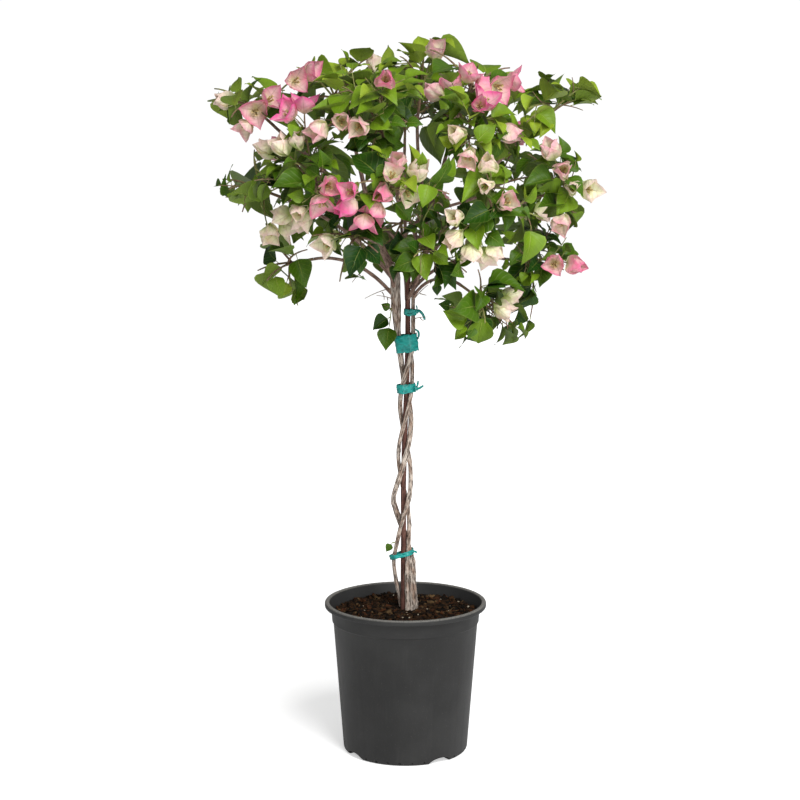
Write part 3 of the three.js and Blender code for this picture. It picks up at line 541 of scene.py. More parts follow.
hub = Vector((-6, 0, 800))
crown = {
    "depth": 0.95, "arch": {"middle": -48, "height": 738, "half": 82, "slope": 2.4, "forward": 0.1},
    "heights": [640, 665, 700, 735, 775, 815, 850, 885, 925, 975, 1005, 1030, 1050, 1065, 1085, 1119],
    "left": [30, 118, 182, 230, 226, 222, 250, 292, 280, 264, 302, 311, 270, 175, 122, 28],
    "right": [180, 208, 205, 208, 262, 258, 270, 294, 270, 246, 296, 304, 266, 160, 116, 68],
}
# Gaps that show sky from the eye: the x, height and radius of each in the upright plane of the trunk.
eye = Vector((-9, -3000, 1016))
skyGaps = [
    (-250, 920, 19), (-234, 950, 14), (-225, 838, 17), (241, 997, 16), (106, 1059, 13), (-108, 1027, 9),
    (-135, 785, 10), (-106, 767, 12), (28, 755, 12), (-47, 721, 18), (-205, 1048, 14), (-150, 995, 7),
]
masses = [
    ("crown_top", 20, 26, 1038, "leader_stem", 0.985, 3.7),
    ("top_left", 165, 115, 1025, "braid_stem_thick", 0.985, 5),
    ("top_right", -30, 115, 1040, "bough_crown_top", 0.3, 3.2),
    ("upper_left", 188, 230, 1004, "bough_top_left", 0.3, 3.8),
    ("upper_right", 2, 226, 1000, "leader_stem", 0.955, 3.4),
    ("mid_left", 191, 232, 886, "braid_stem_thick", 0.95, 3.6),
    ("mid_right", -9, 232, 880, "leader_stem", 0.925, 3.2),
    ("low_left", 186, 182, 768, "braid_stem_thick", 0.905, 3),
    ("low_right", -2, 196, 768, "braid_stem_looped", 0.985, 2.8),
    ("bottom_right", -42, 150, 722, "braid_stem_looped", 0.962, 2.5),
    ("front_high", -106, 135, 985, "bough_crown_top", 0.16, 3.2),
    ("front_upper", -56, 165, 968, "bough_crown_top", 0.08, 3),
    ("front_middle", -94, 200, 893, "bough_front_high", 0.3, 2.8),
    ("front_left", -133, 205, 892, "bough_top_left", 0.14, 3),
    ("front_right", -52, 205, 858, "leader_stem", 0.895, 3),
    ("front_under", -76, 135, 800, "bough_front_right", 0.2, 2.6),
    ("front_low", -118, 165, 818, "braid_stem_thick", 0.925, 2.9),
    ("back_high", 90, 160, 985, "braid_stem_slim", 0.985, 2.8),
    ("back_left", 139, 205, 890, "bough_back_high", 0.22, 2.7),
    ("back_right", 41, 205, 885, "bough_back_high", 0.34, 2.7),
    ("back_low", 92, 180, 820, "braid_stem_slim", 0.94, 2.7),
]
massNames = [mass[0] for mass in masses]
centres = [polar(turn, out, height) for _, turn, out, height, *_ in masses]
bough = {"tip": 2.3, "stem": 42, "stemTip": 1.9, "samples": 40, "rings": 26, "sides": 9}


def enterDirection(index):
    return (centres[index] - hub).normalized()


# A bough arches from inside its parent limb to the start of its mass's own stem.
def boughCurve(index):
    _, _, _, _, parent, at, _ = masses[index]
    enter = enterDirection(index)
    tip = centres[index] - enter * bough["stem"]
    root = limbPoint(parent, at)
    span = (tip - root).length
    outward = Vector((tip.x - root.x, tip.y - root.y, 0)).normalized()
    rise = (up * 0.75 + outward * 0.55).normalized()
    a, b = root + rise * (span * 0.38), tip - enter * (span * 0.34)

    def curve(t):
        left = 1 - t
        return root * left ** 3 + a * (3 * t * left ** 2) + b * (3 * t * t * left) + tip * t ** 3

    return curve


boughCurves = []
for index, mass in enumerate(masses):
    boughCurves.append(boughCurve(index))
    addLimb(f"bough_{mass[0]}", boughCurves[-1],
            lambda point, part, root=mass[6]: mixed(root, bough["tip"], part), bough["samples"])


def gathered():
    tree = KDTree(sum(len(limb["points"]) for limb in limbs.values()))
    radii = []
    for limb in limbs.values():
        for point, radius in zip(limb["points"], limb["radii"]):
            tree.insert(point, len(radii))
            radii.append(radius)
    tree.balance()
    return tree, radii


limbTree, limbRadii = gathered()
thickest = max(limbRadii)
print("limbs laid out")

# ---- growing the foliage ----

growth = {
    "shootsPerMass": 7, "leastFreeShoots": 3, "shootReach": 80, "tipLeaf": 46, "leafSpacing": 24,
    "leafLeast": 52, "leafMost": 78, "leafWidth": 0.74, "bract": 36, "twigRoot": 1.9, "twigTip": 1.5,
    "rodTip": 0.95, "band": 1.3, "limbClearance": 1.6, "cellMargin": 1.2,
}
tips = [
    (-306, -30, 1028), (-150, -60, 1050), (-60, -20, 1088), (-14, 10, 1098), (26, 20, 1114),
    (104, 0, 1080), (288, -10, 1034), (246, -30, 1058), (248, -60, 955), (288, -30, 898),
    (-290, -40, 884), (-250, -60, 846), (-222, -20, 745), (-176, -30, 700), (-160, -30, 688),
    (-67, -170, 785), (126, -70, 674), (168, -35, 652), (196, -60, 690), (60, -190, 758), (-6, -150, 762),
    (-96, -215, 945), (0, 255, 905), (-120, 226, 930), (124, 224, 925), (-40, 190, 740), (186, 145, 800),
    (-180, 115, 800),
]
cream, blush, pink, rose = range(4)
blossoms = [  # place, colour, how many open together
    ((-151, -59, 1051), pink, 2), ((-145, -167, 997), rose, 3), ((-221, -75, 1000), pink, 3),
    ((-252, -38, 1011), cream, 1), ((-113, -189, 978), blush, 2), ((-62, -199, 982), blush, 1),
    ((-191, -129, 936), cream, 2), ((-169, -165, 938), cream, 2), ((39, -18, 1077), blush, 1),
    ((71, -136, 1027), pink, 3), ((108, -156, 1005), rose, 3), ((129, -110, 1036), pink, 2),
    ((-13, -222, 920), blush, 1), ((-1, -222, 889), cream, 2), ((88, -218, 943), blush, 2),
    ((118, -222, 917), cream, 2), ((135, -146, 970), blush, 1), ((229, -110, 911), blush, 2),
    ((262, -71, 885), cream, 2), ((229, -87, 845), blush, 1), ((243, -55, 773), pink, 2),
    ((-114, -222, 898), pink, 2), ((-71, -222, 874), rose, 3), ((-26, -222, 890), pink, 3),
    ((-147, -156, 857), cream, 3), ((-203, -112, 832), cream, 3), ((-104, -163, 814), cream, 1),
    ((80, -196, 830), cream, 3), ((103, -172, 818), cream, 3), ((138, -193, 871), blush, 1),
    ((131, -100, 716), cream, 2), ((-31, -211, 1038), pink, 1), ((60, 215, 985), pink, 2),
    ((-70, 200, 1000), blush, 2), ((-190, 150, 925), pink, 2), ((175, 165, 945), rose, 2),
    ((205, 120, 850), cream, 2), ((30, 222, 830), blush, 2), ((-105, 190, 800), cream, 1),
    ((-40, 130, 1060), cream, 1), ((100, 150, 1020), blush, 1),
]


def inCrown(place):
    arch, heights = crown["arch"], crown["heights"]
    left, right = (between(heights, crown[side], place.z) for side in ("left", "right"))
    floor = arch["height"] - arch["forward"] * place.y
    floor -= arch["slope"] * max(0, abs(place.x - arch["middle"]) - arch["half"])
    if not heights[0] < place.z < heights[-1] or place.z <= floor:
        return False
    depth = crown["depth"] * (left + right) / 2
    return math.hypot(place.x / (left if place.x < 0 else right), place.y / depth) < 1


# Inside the mass's own space: nearer its centre than any other's, and within the crown.
def inOwnSpace(place, index, margin=growth["cellMargin"]):
    if not inCrown(place):
        return False
    own = centres[index]
    nearest = (place - own).length_squared
    for k, other in enumerate(centres):
        if k != index and (place - other).length_squared - nearest <= 2 * margin * (own - other).length:
            return False
    return True


def shadesGap(place):
    scale = eye.y / (eye.y - place.y)
    x, z = eye.x + (place.x - eye.x) * scale, eye.z + (place.z - eye.z) * scale
    return any(math.hypot(x - middle, z - height) < radius for middle, height, radius in skyGaps)


def closestPlace(patches, place):
    return min(((closest_point_on_tri(place, *patch) - place).length for patch in patches))


# The folded outline of a blade, which the tests read, and its frame, which its shape is put in.
def makeBlade(place, along, facing, length, width, fold, sag):
    normal = (facing - along * facing.dot(along)).normalized()
    across = along.cross(normal).normalized()
    middle = place + along * (length * 0.42)
    lifted = middle + normal * fold
    tip = place + along * length - normal * sag
    left, right = lifted + across * (width / 2), lifted - across * (width / 2)
    corners = [place, left, tip, right, middle]
    tree = BVHTree.FromPolygons(corners, [(0, 1, 4), (1, 2, 4), (2, 3, 4), (3, 0, 4)])
    return {
        "place": place.copy(), "along": along.copy(), "across": across, "normal": normal, "length": length,
        "width": width, "middle": middle, "corners": corners, "tree": tree,
        "patches": [(place, left, middle), (left, tip, middle), (tip, right, middle), (right, place, middle)],
    }


def clearOfLimbs(blade):
    for place, index, _ in limbTree.find_range(blade["middle"], blade["length"] + thickest):
        if closestPlace(blade["patches"], place) < limbRadii[index] + growth["limbClearance"]:
            return False
    return True


def rodClear(curve, radius):
    reach = radius + growth["limbClearance"]
    for k in range(13):
        for _, index, distance in limbTree.find_range(curve(k / 12), thickest + reach):
            if distance < limbRadii[index] + reach:
                return False
    return True


def crossesRun(blade, run):
    for start, end in zip(run, run[1:]):
        span = end - start
        if blade["tree"].ray_cast(start, span.normalized(), span.length)[0] is not None:
            return True
    return False


def bladesCross(one, other):
    if (one["middle"] - other["middle"]).length > (one["length"] + other["length"]) * 0.6:
        return False
    return bool(one["tree"].overlap(other["tree"]))


def bladeFits(blade, index, runs, blades):
    return (
        all(inOwnSpace(corner, index) and not shadesGap(corner) for corner in blade["corners"][1:])
        and not any(bladesCross(blade, other) for other in blades)
        and not any(crossesRun(blade, run) for run in runs)
        and clearOfLimbs(blade)
    )


def quadratic(start, bend, end):
    return lambda t: start * (1 - t) ** 2 + bend * (2 * t * (1 - t)) + end * t * t


def tangentOf(curve, part):
    low, high = max(part - 1e-3, 0), min(part + 1e-3, 1)
    return (curve(high) - curve(low)).normalized()


def lengthOf(curve):
    points = [curve(k / 40) for k in range(41)]
    return sum((other - one).length for one, other in zip(points, points[1:]))


# A direction square to another, turned round it.
def sideways(along, turn):
    first = sideOf(along)
    return first * math.cos(turn) + along.cross(first) * math.sin(turn)


def twigSide(tangent, plane, turn):
    return plane * math.cos(turn) + tangent.cross(plane) * math.sin(turn)


def planeOf(curve):
    start, middle, end = curve(0), curve(0.5), curve(1)
    bow = (middle - start).cross(end - start)
    return bow.normalized() if bow.length > 1 else sideways(tangentOf(curve, 0.5), 0)


def shootCurve(start, target, heading, index):
    for part in (1, 0.86, 0.72, 0.58):
        end = start.lerp(target, part)
        span = (end - start).length
        bend = start.lerp(end, 0.45) + heading * (span * 0.16) + up * (span * 0.1)
        curve = quadratic(start, bend, end)
        if all(inOwnSpace(curve(k), index) for k in (0.25, 0.5, 0.75, 1)) and rodClear(curve, 2):
            return curve
    return None


def spiralTarget(index, k, count, draw):
    axis = enterDirection(index)
    lean = math.acos(1 - 1.55 * (k + 0.5) / count)
    side = sideways(axis, k * spiralStep + draw() * 0.6)
    return centres[index] + (axis * math.cos(lean) + side * math.sin(lean)) * growth["shootReach"]


# A run of points that stands for a shoot in the tests, but for the stretch at a blade's own node.
def shootRuns(curve, length, node):
    skip = 4 / length
    cuts = [(0, 1)] if node is None else [(0, node - skip), (node + skip, 1)]
    return [[curve(mixed(low, high, k / 3)) for k in range(4)] for low, high in cuts if high - low > 0.05]


# The first of several tries that fits: full size, then less drooping, then smaller.
def leafAt(place, centre, tangent, side, spreadOut, draws, size, last, fits):
    outward = (place - hub).normalized() * 0.5 + (place - centre).normalized() * 0.5 + up * 0.5
    facing = outward + Vector((draws[2] - 0.5, draws[3] - 0.5, 0)) * 0.9
    for scale, droop in ((1, 1), (1, 0), (0.8, 1), (0.8, 0), (0.62, 0)):
        along = tangent * math.cos(spreadOut) + side * math.sin(spreadOut)
        along.z -= droop * (0.2 + 0.4 * draws[1]) * (0.3 if last else 1)
        length = size * scale
        blade = makeBlade(place, along.normalized(), facing, length, length * growth["leafWidth"],
                          length * 0.09, length * 0.1)
        if fits(blade):
            return blade
    return None


def leavesAlong(shoot, draw, fits):
    curve, length = shoot["curve"], shoot["length"]
    plane = planeOf(curve)
    count = max(2, round(length / growth["leafSpacing"]))
    first = draw() * fullTurn
    grown = []
    for k in range(count):
        last = k == count - 1
        part = 1 if last else 0.26 + 0.7 * (k + 0.6) / count
        draws = [draw() for _ in range(5)]
        if last and shoot["blossom"]:
            break
        tangent = tangentOf(curve, part)
        side = twigSide(tangent, plane, first + k * spiralStep)
        place = curve(part) + side * (0 if last else growth["twigTip"] / 2)
        spreadOut = 0.2 if last else math.radians(52 + 24 * draws[0])
        size = mixed(growth["leafLeast"], growth["leafMost"], draws[4]) * (0.85 if last else 1)
        node = None if last else part
        blade = leafAt(place, centres[shoot["mass"]], tangent, side, spreadOut, draws, size, last,
                       lambda one: fits(one, grown, node))
        if blade:
            blade["rank"] = part
            grown.append(blade)
    return grown


# Three bracts' outlines round a direction, which later leaves keep clear of.
def bractBlades(place, tangent, plane, turn):
    found = []
    for k in range(3):
        side = twigSide(tangent, plane, turn + k * fullTurn / 3)
        along = (tangent * 0.62 + side * 0.78).normalized()
        start = place + side * (growth["twigTip"] / 2)
        size = growth["bract"]
        found.append(makeBlade(start, along, tangent - side * 0.8, size, size * 0.86, 4, -3))
    return found


twiglets = {  # the finer growth on each shoot: where, how long, and the leaves that it carries
    "perShoot": 3, "least": 22, "most": 44, "leafLeast": 34, "leafMost": 60, "leaves": 3,
    "perMass": {"low_left": 0, "top_left": 1, "upper_left": 1, "top_right": 1, "crown_top": 2, "mid_left": 2,
                "front_under": 6, "low_right": 6, "bottom_right": 5, "front_right": 4, "front_high": 6,
                "front_upper": 5, "back_high": 7},
}
sprays = []      # every shoot: its curve, radii, leaves, blossom and spray colour
fineTwigs = []   # side twigs
leafRecords = []
blossomRecords = []


def growBlossoms(shoot, index, draw, fine, blades):
    curve, length = shoot["curve"], shoot["length"]
    part = 1 - growth["band"] / length
    tangent, plane = tangentOf(curve, part), planeOf(curve)
    turn = draw() * fullTurn
    _, colour, count = shoot["blossom"]
    bracts = bractBlades(curve(part), tangent, plane, turn)
    blades.extend(bracts)
    blossomRecords.append({"place": curve(1), "along": tangent, "turn": turn, "colour": colour, "size": 1.0,
                           "openness": fine()})
    for k in range(1, count):
        start = curve(0.62 + 0.1 * k)
        spin = turn + k * fullTurn / 2.4 + fine()
        reach = mixed(22, 30, fine())
        for shift in range(5):
            side = sideways(tangent, spin + shift * fullTurn / 5)
            heading = (tangent * 0.62 + side * 0.8 + up * 0.12).normalized()
            end = start + heading * reach
            if inOwnSpace(end + heading * 14, index, 0):
                break
        else:
            continue
        stalk = quadratic(start, start.lerp(end, 0.5) + tangent * 4, end)
        blades.extend(bractBlades(end, heading, sideways(heading, 0), turn))
        fineTwigs.append({"curve": stalk, "root": 0.8, "tip": 0.6, "green": True})
        tint = colour if fine() < 0.7 else max(cream, colour - 1)
        blossomRecords.append({"place": end, "along": heading, "turn": fine() * fullTurn, "colour": tint,
                               "size": mixed(0.82, 1.0, fine()), "openness": fine()})


# Side twigs with smaller leaves, from a stream of their own so that the main leaves stay put.
def growTwiglets(shoot, index, fine, fits, blades):
    curve, plane = shoot["curve"], planeOf(shoot["curve"])
    count = twiglets["perMass"].get(masses[index][0], twiglets["perShoot"])
    for k in range(count):
        part = 0.3 + 0.55 * (k + fine() * 0.8) / count
        tangent = tangentOf(curve, part)
        side = twigSide(tangent, plane, fine() * fullTurn)
        heading = (tangent * 0.6 + side * 0.8 + up * 0.12).normalized()
        span = mixed(twiglets["least"], twiglets["most"], fine())
        start = curve(part)
        end = start + heading * span
        bend = start.lerp(end, 0.5) + tangent * (span * 0.1)
        twiglet = quadratic(start, bend, end)
        if not inOwnSpace(end, index) or not rodClear(twiglet, 1):
            continue
        grown = []
        turn = fine() * fullTurn
        for leaf in range(twiglets["leaves"]):
            last = leaf == 0
            at = 1 - leaf * 0.34
            along = tangentOf(twiglet, at)
            outward = sideways(along, turn + leaf * spiralStep)
            draws = [fine() for _ in range(5)]
            size = mixed(twiglets["leafLeast"], twiglets["leafMost"], draws[4]) * (0.8 if last else 1)
            spreadOut = 0.25 if last else math.radians(48 + 26 * draws[0])
            blade = leafAt(twiglet(at), centres[index], along, outward, spreadOut, draws, size, last,
                           lambda one: fits(one, grown, None))
            if blade:
                blade["rank"] = 0.45 + 0.45 * at
                grown.append(blade)
        if grown:
            fineTwigs.append({"curve": twiglet, "root": 1.1, "tip": 0.6, "green": fine() < 0.5})
            blades.extend(grown)
            leafRecords.extend((blade, shoot) for blade in grown)


def growMass(index):
    draw, fine = seeded(700 + index), seeded(1700 + index)
    enter, centre = enterDirection(index), centres[index]
    start = centre + enter * (gap - bough["stem"])
    targets = [(Vector(blossom[0]), blossom) for blossom in blossoms if inOwnSpace(Vector(blossom[0]), index)]
    for tip in tips:
        place = Vector(tip)
        if inOwnSpace(place, index):
            targets.append((place - (place - centre).normalized() * growth["tipLeaf"], None))
    free = max(growth["leastFreeShoots"], growth["shootsPerMass"] - len(targets))
    targets += [(spiralTarget(index, k, free, draw), None) for k in range(free)]
    shoots = []
    for k, (target, blossom) in enumerate(targets):
        root = start.lerp(centre, 0.4 + 0.58 * (k + 0.5) / len(targets))
        curve = shootCurve(root, target, enter, index)
        if curve:
            shoots.append({"curve": curve, "length": lengthOf(curve), "blossom": blossom, "mass": index})
    blades = []
    tests = []
    for shoot in shoots:
        others = [run for other in shoots if other is not shoot
                  for run in shootRuns(other["curve"], other["length"], None)]

        def fits(blade, mates, node, shoot=shoot, others=others):
            near = others if node is None else others + shootRuns(shoot["curve"], shoot["length"], node)
            return bladeFits(blade, index, near, blades + mates)

        if shoot["blossom"]:
            growBlossoms(shoot, index, draw, fine, blades)
        grown = leavesAlong(shoot, draw, fits)
        blades.extend(grown)
        leafRecords.extend((blade, shoot) for blade in grown)
        shoot["youth"] = fine()
        tests.append(fits)
    for shoot, fits in zip(shoots, tests):
        growTwiglets(shoot, index, fine, fits, blades)
    sprays.extend(shoots)
    return start, centre


massStems = [growMass(index) for index in range(len(masses))]
print(len(sprays), "shoots,", len(leafRecords), "leaves,", len(blossomRecords), "blossoms")

# ---- leaves ----

leafForms = [  # fold of the two halves, droop of the end, curl of the rim, sideways bend
    (0.30, 0.30, 0.05, 0.00), (0.42, 0.44, 0.03, 0.05), (0.22, 0.58, 0.07, -0.04), (0.50, 0.34, 0.02, 0.03),
    (0.36, 0.70, 0.04, -0.06), (0.18, 0.40, 0.09, 0.02), (0.60, 0.50, 0.00, -0.02), (0.26, 0.24, 0.06, 0.06),
]
petiole = {"part": 0.17, "radii": [0.85, 0.7, 0.6, 0.55]}  # its part of a leaf's whole length
# The height and reach weights make lower and inner leaves darker: partly older leaves, partly painted shade.
youth = {"rank": 0.30, "spray": 0.27, "height": 0.33, "reach": 0.14, "chance": 0.22, "low_left": 0.24}
youngLimits = (0.80, 0.66, 0.50, 0.36)  # how young a leaf is at least for each tint but the last


# A flat blade with the map that its veins are drawn on.
def bladeGrid(columns):
    bm = bmesh.new()
    layer = bm.loops.layers.uv.new("blade")
    bmesh.ops.create_grid(bm, x_segments=columns, y_segments=8, size=0.5)
    for face in bm.faces:
        for loop in face.loops:
            loop[layer].uv = (loop.vert.co.x + 0.5, loop.vert.co.y + 0.5)
    return bm


def closedShape(bm):
    bmesh.ops.remove_doubles(bm, verts=bm.verts, dist=0.004)
    return shapeFrom(bm)


# A pointed, heart-footed outline: its whole width at a part of its length, kept off the very ends.
def leafOutline(v):
    inner = min(max(v, 0.004), 0.997)
    return 3.2 * inner ** 0.6 * (1 - inner) ** 1.26


# A blade of length 1 and width 1 on its petiole's end, folded, arched and wavy.
def leafShape(form, variant):
    fold, droop, curl, bend = form
    bm = bladeGrid(4)
    for vert in bm.verts:
        across, v = vert.co.x * 2, vert.co.y + 0.5
        v = v ** 0.9
        half = leafOutline(v) / 2
        wave = 0.022 * math.sin(9 * v + variant * 1.7 + (2.1 if across > 0 else 0)) * abs(across)
        lift = fold * abs(across) * half * 1.6 - curl * across * across * 0.8 + wave
        sink = droop * v * v * 0.62
        slack = 1 - 0.12 * fold * abs(across)
        vert.co = (across * half * slack + bend * v * v * (1 - v) * 2, v - 0.14 * droop * v * v, lift - sink)
    return closedShape(bm)


leafShapes = [leafShape(form, variant) for variant, form in enumerate(leafForms)]
petioleShape = rodShape(4, 3)


# Young leaves at the ends of young sprays. Leaves come out darker low down and towards the inside of the
# crown, partly as older leaves and partly as painted shade.
def tintOf(blade, shoot, draw):
    height = (blade["middle"].z - 660) / 450
    reach = (blade["middle"] - hub).length / 300
    young = youth["rank"] * blade["rank"] + youth["spray"] * shoot["youth"] + youth["height"] * height
    young += youth["reach"] * reach
    young += youth["chance"] * (draw - 0.5)
    young += youth["low_left"] if masses[shoot["mass"]][0] == "low_left" else 0
    return sum(young <= limit for limit in youngLimits)


def addLeaf(bm, stalks, blade, tint, pick):
    length, along, normal, across = blade["length"], blade["along"], blade["normal"], blade["across"]
    foot = blade["place"] + along * (length * petiole["part"])
    rest = length * (1 - petiole["part"]) * 1.04
    shape = leafShapes[int(pick * len(leafShapes)) % len(leafShapes)]
    addShape(bm, shape, axes(across * blade["width"], along * rest, normal * rest, foot), tint)
    bend = blade["place"].lerp(foot, 0.5) + normal * (length * 0.025)
    stalk = quadratic(blade["place"], bend, foot + along * 0.6)
    addRod(stalks, petioleShape, [stalk(k / 3) for k in range(4)], petiole["radii"], None, 1)


leafPiece, twigPiece = bmesh.new(), bmesh.new()
tintDraw = seeded(4100)
for blade, shoot in leafRecords:
    addLeaf(leafPiece, twigPiece, blade, tintOf(blade, shoot, tintDraw()), tintDraw())
foliageNodes = [f"foliage_{name}" for name in massNames]
finishPiece("crownLeaves", leafPiece, leafMaterials, foliageNodes)
print("leaves made")

# ---- twigs ----

shootRod = rodShape(6, 8)
twigletRod = rodShape(5, 5)


bareTwigs = [  # dry spurs under the crown: limb, how far along it, way and length
    ("braid_stem_thick", 0.935, (-0.9, -0.35, -0.30), 50), ("braid_stem_thick", 0.90, (-0.8, -0.5, 0.25), 34),
    ("braid_stem_thick", 0.87, (-0.9, -0.3, 0.45), 22), ("braid_stem_looped", 0.955, (0.7, -0.4, 0.75), 34),
    ("braid_stem_looped", 0.90, (0.9, -0.4, 0.15), 26), ("leader_stem", 0.93, (0.75, -0.5, 0.6), 30),
    ("bough_low_left", 0.45, (-0.5, -0.5, -0.5), 30), ("bough_low_right", 0.5, (0.4, -0.5, -0.6), 26),
]
spur = {"root": 0.85, "tip": 0.4, "forkAt": 0.45, "forkTurn": 2.4, "forkLength": 0.4}
twigMaterials = [barkMaterials["twigBark"], barkMaterials["greenTwig"]]


# Slight swellings where leaves stood.
def knuckled(angle, along, radius):
    return radius * (1 + 0.16 * math.exp(-((along % 17 - 8) / 1.6) ** 2) + 0.05 * math.sin(3 * angle))


def addSpur(foot, along, heading, length):
    bend = foot + along * (length * 0.5) + up * (length * 0.09)
    run = quadratic(foot, bend, foot + (along + heading * 0.3) * length * 0.8)
    addTwig(twigPiece, twigletRod, run, spur["root"], spur["tip"], 5)


for shoot in sprays:
    green = 1 if shoot["youth"] > 0.75 else 0
    addTwig(twigPiece, shootRod, shoot["curve"], growth["twigRoot"], growth["rodTip"], 8, knuckled, green)
for one in fineTwigs:
    addTwig(twigPiece, twigletRod, one["curve"], one["root"], one["tip"], 5, None, int(one["green"]))
for name, part, way, span in bareTwigs:
    start, heading = limbPoint(name, part), Vector(way).normalized()
    addSpur(start, heading, heading, span)
    fork = sideways(heading, spur["forkTurn"])
    addSpur(start + heading * span * spur["forkAt"], fork, heading, span * spur["forkLength"])
for start, centre in massStems:
    addTwig(twigPiece, shootRod, lambda part: start.lerp(centre, part), bough["tip"], bough["stemTip"], 8,
            knuckled)
finishPiece("crownTwigs", twigPiece, twigMaterials)
print("twigs made")

# ---- blossom ----

bractForm = {"length": 37, "width": 0.98}


# One bract of length 1, keeled outwards and cupped over the flowers. It leans out by openness.
def bractShape(openness, variant):
    bm = bladeGrid(6)
    lean = mixed(0.20, 0.85, openness)
    for vert in bm.verts:
        across, v = vert.co.x * 2, (vert.co.y + 0.5) ** 0.9
        inner = min(max(v, 0.004), 0.997)
        half = 2.15 * inner ** 0.62 * (1 - inner ** 1.7) ** 1.02 * bractForm["width"] / 2
        ripple = 0.05 * math.sin(11 * v + variant * 2.3 + across * 2.4) + 0.02 * math.sin(23 * v + variant)
        wrap = abs(across) ** 1.25 * half * mixed(0.95, 0.55, openness)  # the two halves fold inwards
        belly = math.sin(math.pi * min(v * 1.05, 1)) * mixed(0.22, 0.10, openness)
        out = math.sin(lean) * v + belly + 0.06 * v ** 3 - wrap + ripple * abs(across)
        vert.co = (across * half * mixed(0.86, 0.95, openness), out, math.cos(lean) * v)
    return closedShape(bm)


def flowerShape():
    bm = bmesh.new()
    bmesh.ops.create_cone(bm, cap_ends=False, segments=6, radius1=0.03, radius2=0.042, depth=0.42)
    bmesh.ops.translate(bm, vec=(0, 0, 0.21), verts=bm.verts)
    rim = [edge for edge in bm.edges if all(vert.co.z > 0.4 for vert in edge.verts)]
    star = bmesh.ops.extrude_edge_only(bm, edges=rim)["geom"]
    for k, vert in enumerate(one for one in star if isinstance(one, bmesh.types.BMVert)):
        vert.co.xy *= 1.9 if k % 2 else 1.3
        vert.co.z += 0.03
    return shapeFrom(bm)


opennessSteps = [0.0, 0.25, 0.5, 0.75, 1.0]
widestPink = 3  # the last of those steps that pink blossoms open to
bractShapes = [[bractShape(openness, variant) for variant in range(3)] for openness in opennessSteps]
flower = flowerShape()
flowerMaterial, _ = newMaterial("flowerTube", (0.50, 0.38, 0.17), 0.5)


def addBlossom(bracts, flowers, record):
    along, size = record["along"], record["size"] * bractForm["length"]
    first = sideways(along, record["turn"])
    second = along.cross(first)
    step = min(int(record["openness"] * len(opennessSteps)), len(opennessSteps) - 1)
    step = step // 2 if record["colour"] < pink else min(step, widestPink)
    for k in range(3):
        angle = k * fullTurn / 3
        outward = first * math.cos(angle) + second * math.sin(angle)
        across = outward.cross(along)
        place = record["place"] - along * (size * 0.05)
        turned = axes(across * size, outward * size, along * size, place)
        addShape(bracts, bractShapes[step][k], turned, record["colour"])
        tilt = (along + outward * 0.16).normalized()
        side = tilt.cross(across)
        turned = axes(across * size, side * size, tilt * size, record["place"] + outward * 1.2)
        addShape(flowers, flower, turned)


bractPiece, flowerPiece = bmesh.new(), bmesh.new()
for record in blossomRecords:
    addBlossom(bractPiece, flowerPiece, record)
finishPiece("blossomBracts", bractPiece, bractMaterials)
finishPiece("blossomFlowers", flowerPiece, [flowerMaterial])
print("blossom made")

# ---- barked limbs ----


# Ridges and creases that run with the wood, and swellings where side shoots stood.
def barkRelief(seed, depth, swell):
    draw = seeded(seed)
    knots = []
    along = 10 + 20 * draw()
    while along < 600:
        knots.append((along, draw() * fullTurn, 0.5 + draw()))
        along += 18 + 34 * draw()

    def relief(angle, along, radius):
        around = Vector((math.cos(angle), math.sin(angle), 0))
        ridge = noise.noise(around * 1.7 + Vector((seed, 0, along / 42)))
        crease = noise.noise(around * 3.6 + Vector((0, seed, along / 24)))
        lump = 0.0
        for at, turn, size in knots:
            if abs(along - at) < 14:
                facing = 0.5 + 0.5 * math.cos(angle - turn)
                lump += size * facing * math.exp(-((along - at) / 4.2) ** 2)
        return radius * (1 + depth * ridge + depth * 0.5 * crease + swell * lump)

    return relief


stemRod = rodShape(trunk["sides"], trunk["rings"])
boughRod = rodShape(bough["sides"], bough["rings"])
relief = {"leader_stem": (0.07, 0.05), "braid_stem_thick": (0.26, 0.20), "braid_stem_slim": (0.20, 0.22),
          "braid_stem_looped": (0.22, 0.24)}
for seed, (name, curve) in enumerate(stemCurves.items()):
    bm = bmesh.new()
    points = evenly(curve, trunk["rings"])
    radii = [atStation(stemRadii[name], point.z) for point in points]
    addRod(bm, stemRod, points, radii, barkRelief(31 + seed, *relief[name]))
    isLeader = name == leader["name"]
    bark = barkMaterials["leaderBarkShaded" if isLeader else "braidBark"]
    finishPiece(f"barked_{name}", bm, [bark], [name])
bm = bmesh.new()
for index, mass in enumerate(masses):
    points = evenly(boughCurves[index], bough["rings"])
    radii = [mixed(mass[6], bough["tip"], k / bough["rings"]) for k in range(bough["rings"] + 1)]
    addRod(bm, boughRod, points, radii, barkRelief(70 + index, 0.12, 0.14))
boughNodes = [f"bough_{name}" for name in massNames]
finishPiece("barkedBoughs", bm, [barkMaterials["boughBark"]], boughNodes)
print("bark made")

# ---- sprigs on the bare trunk ----

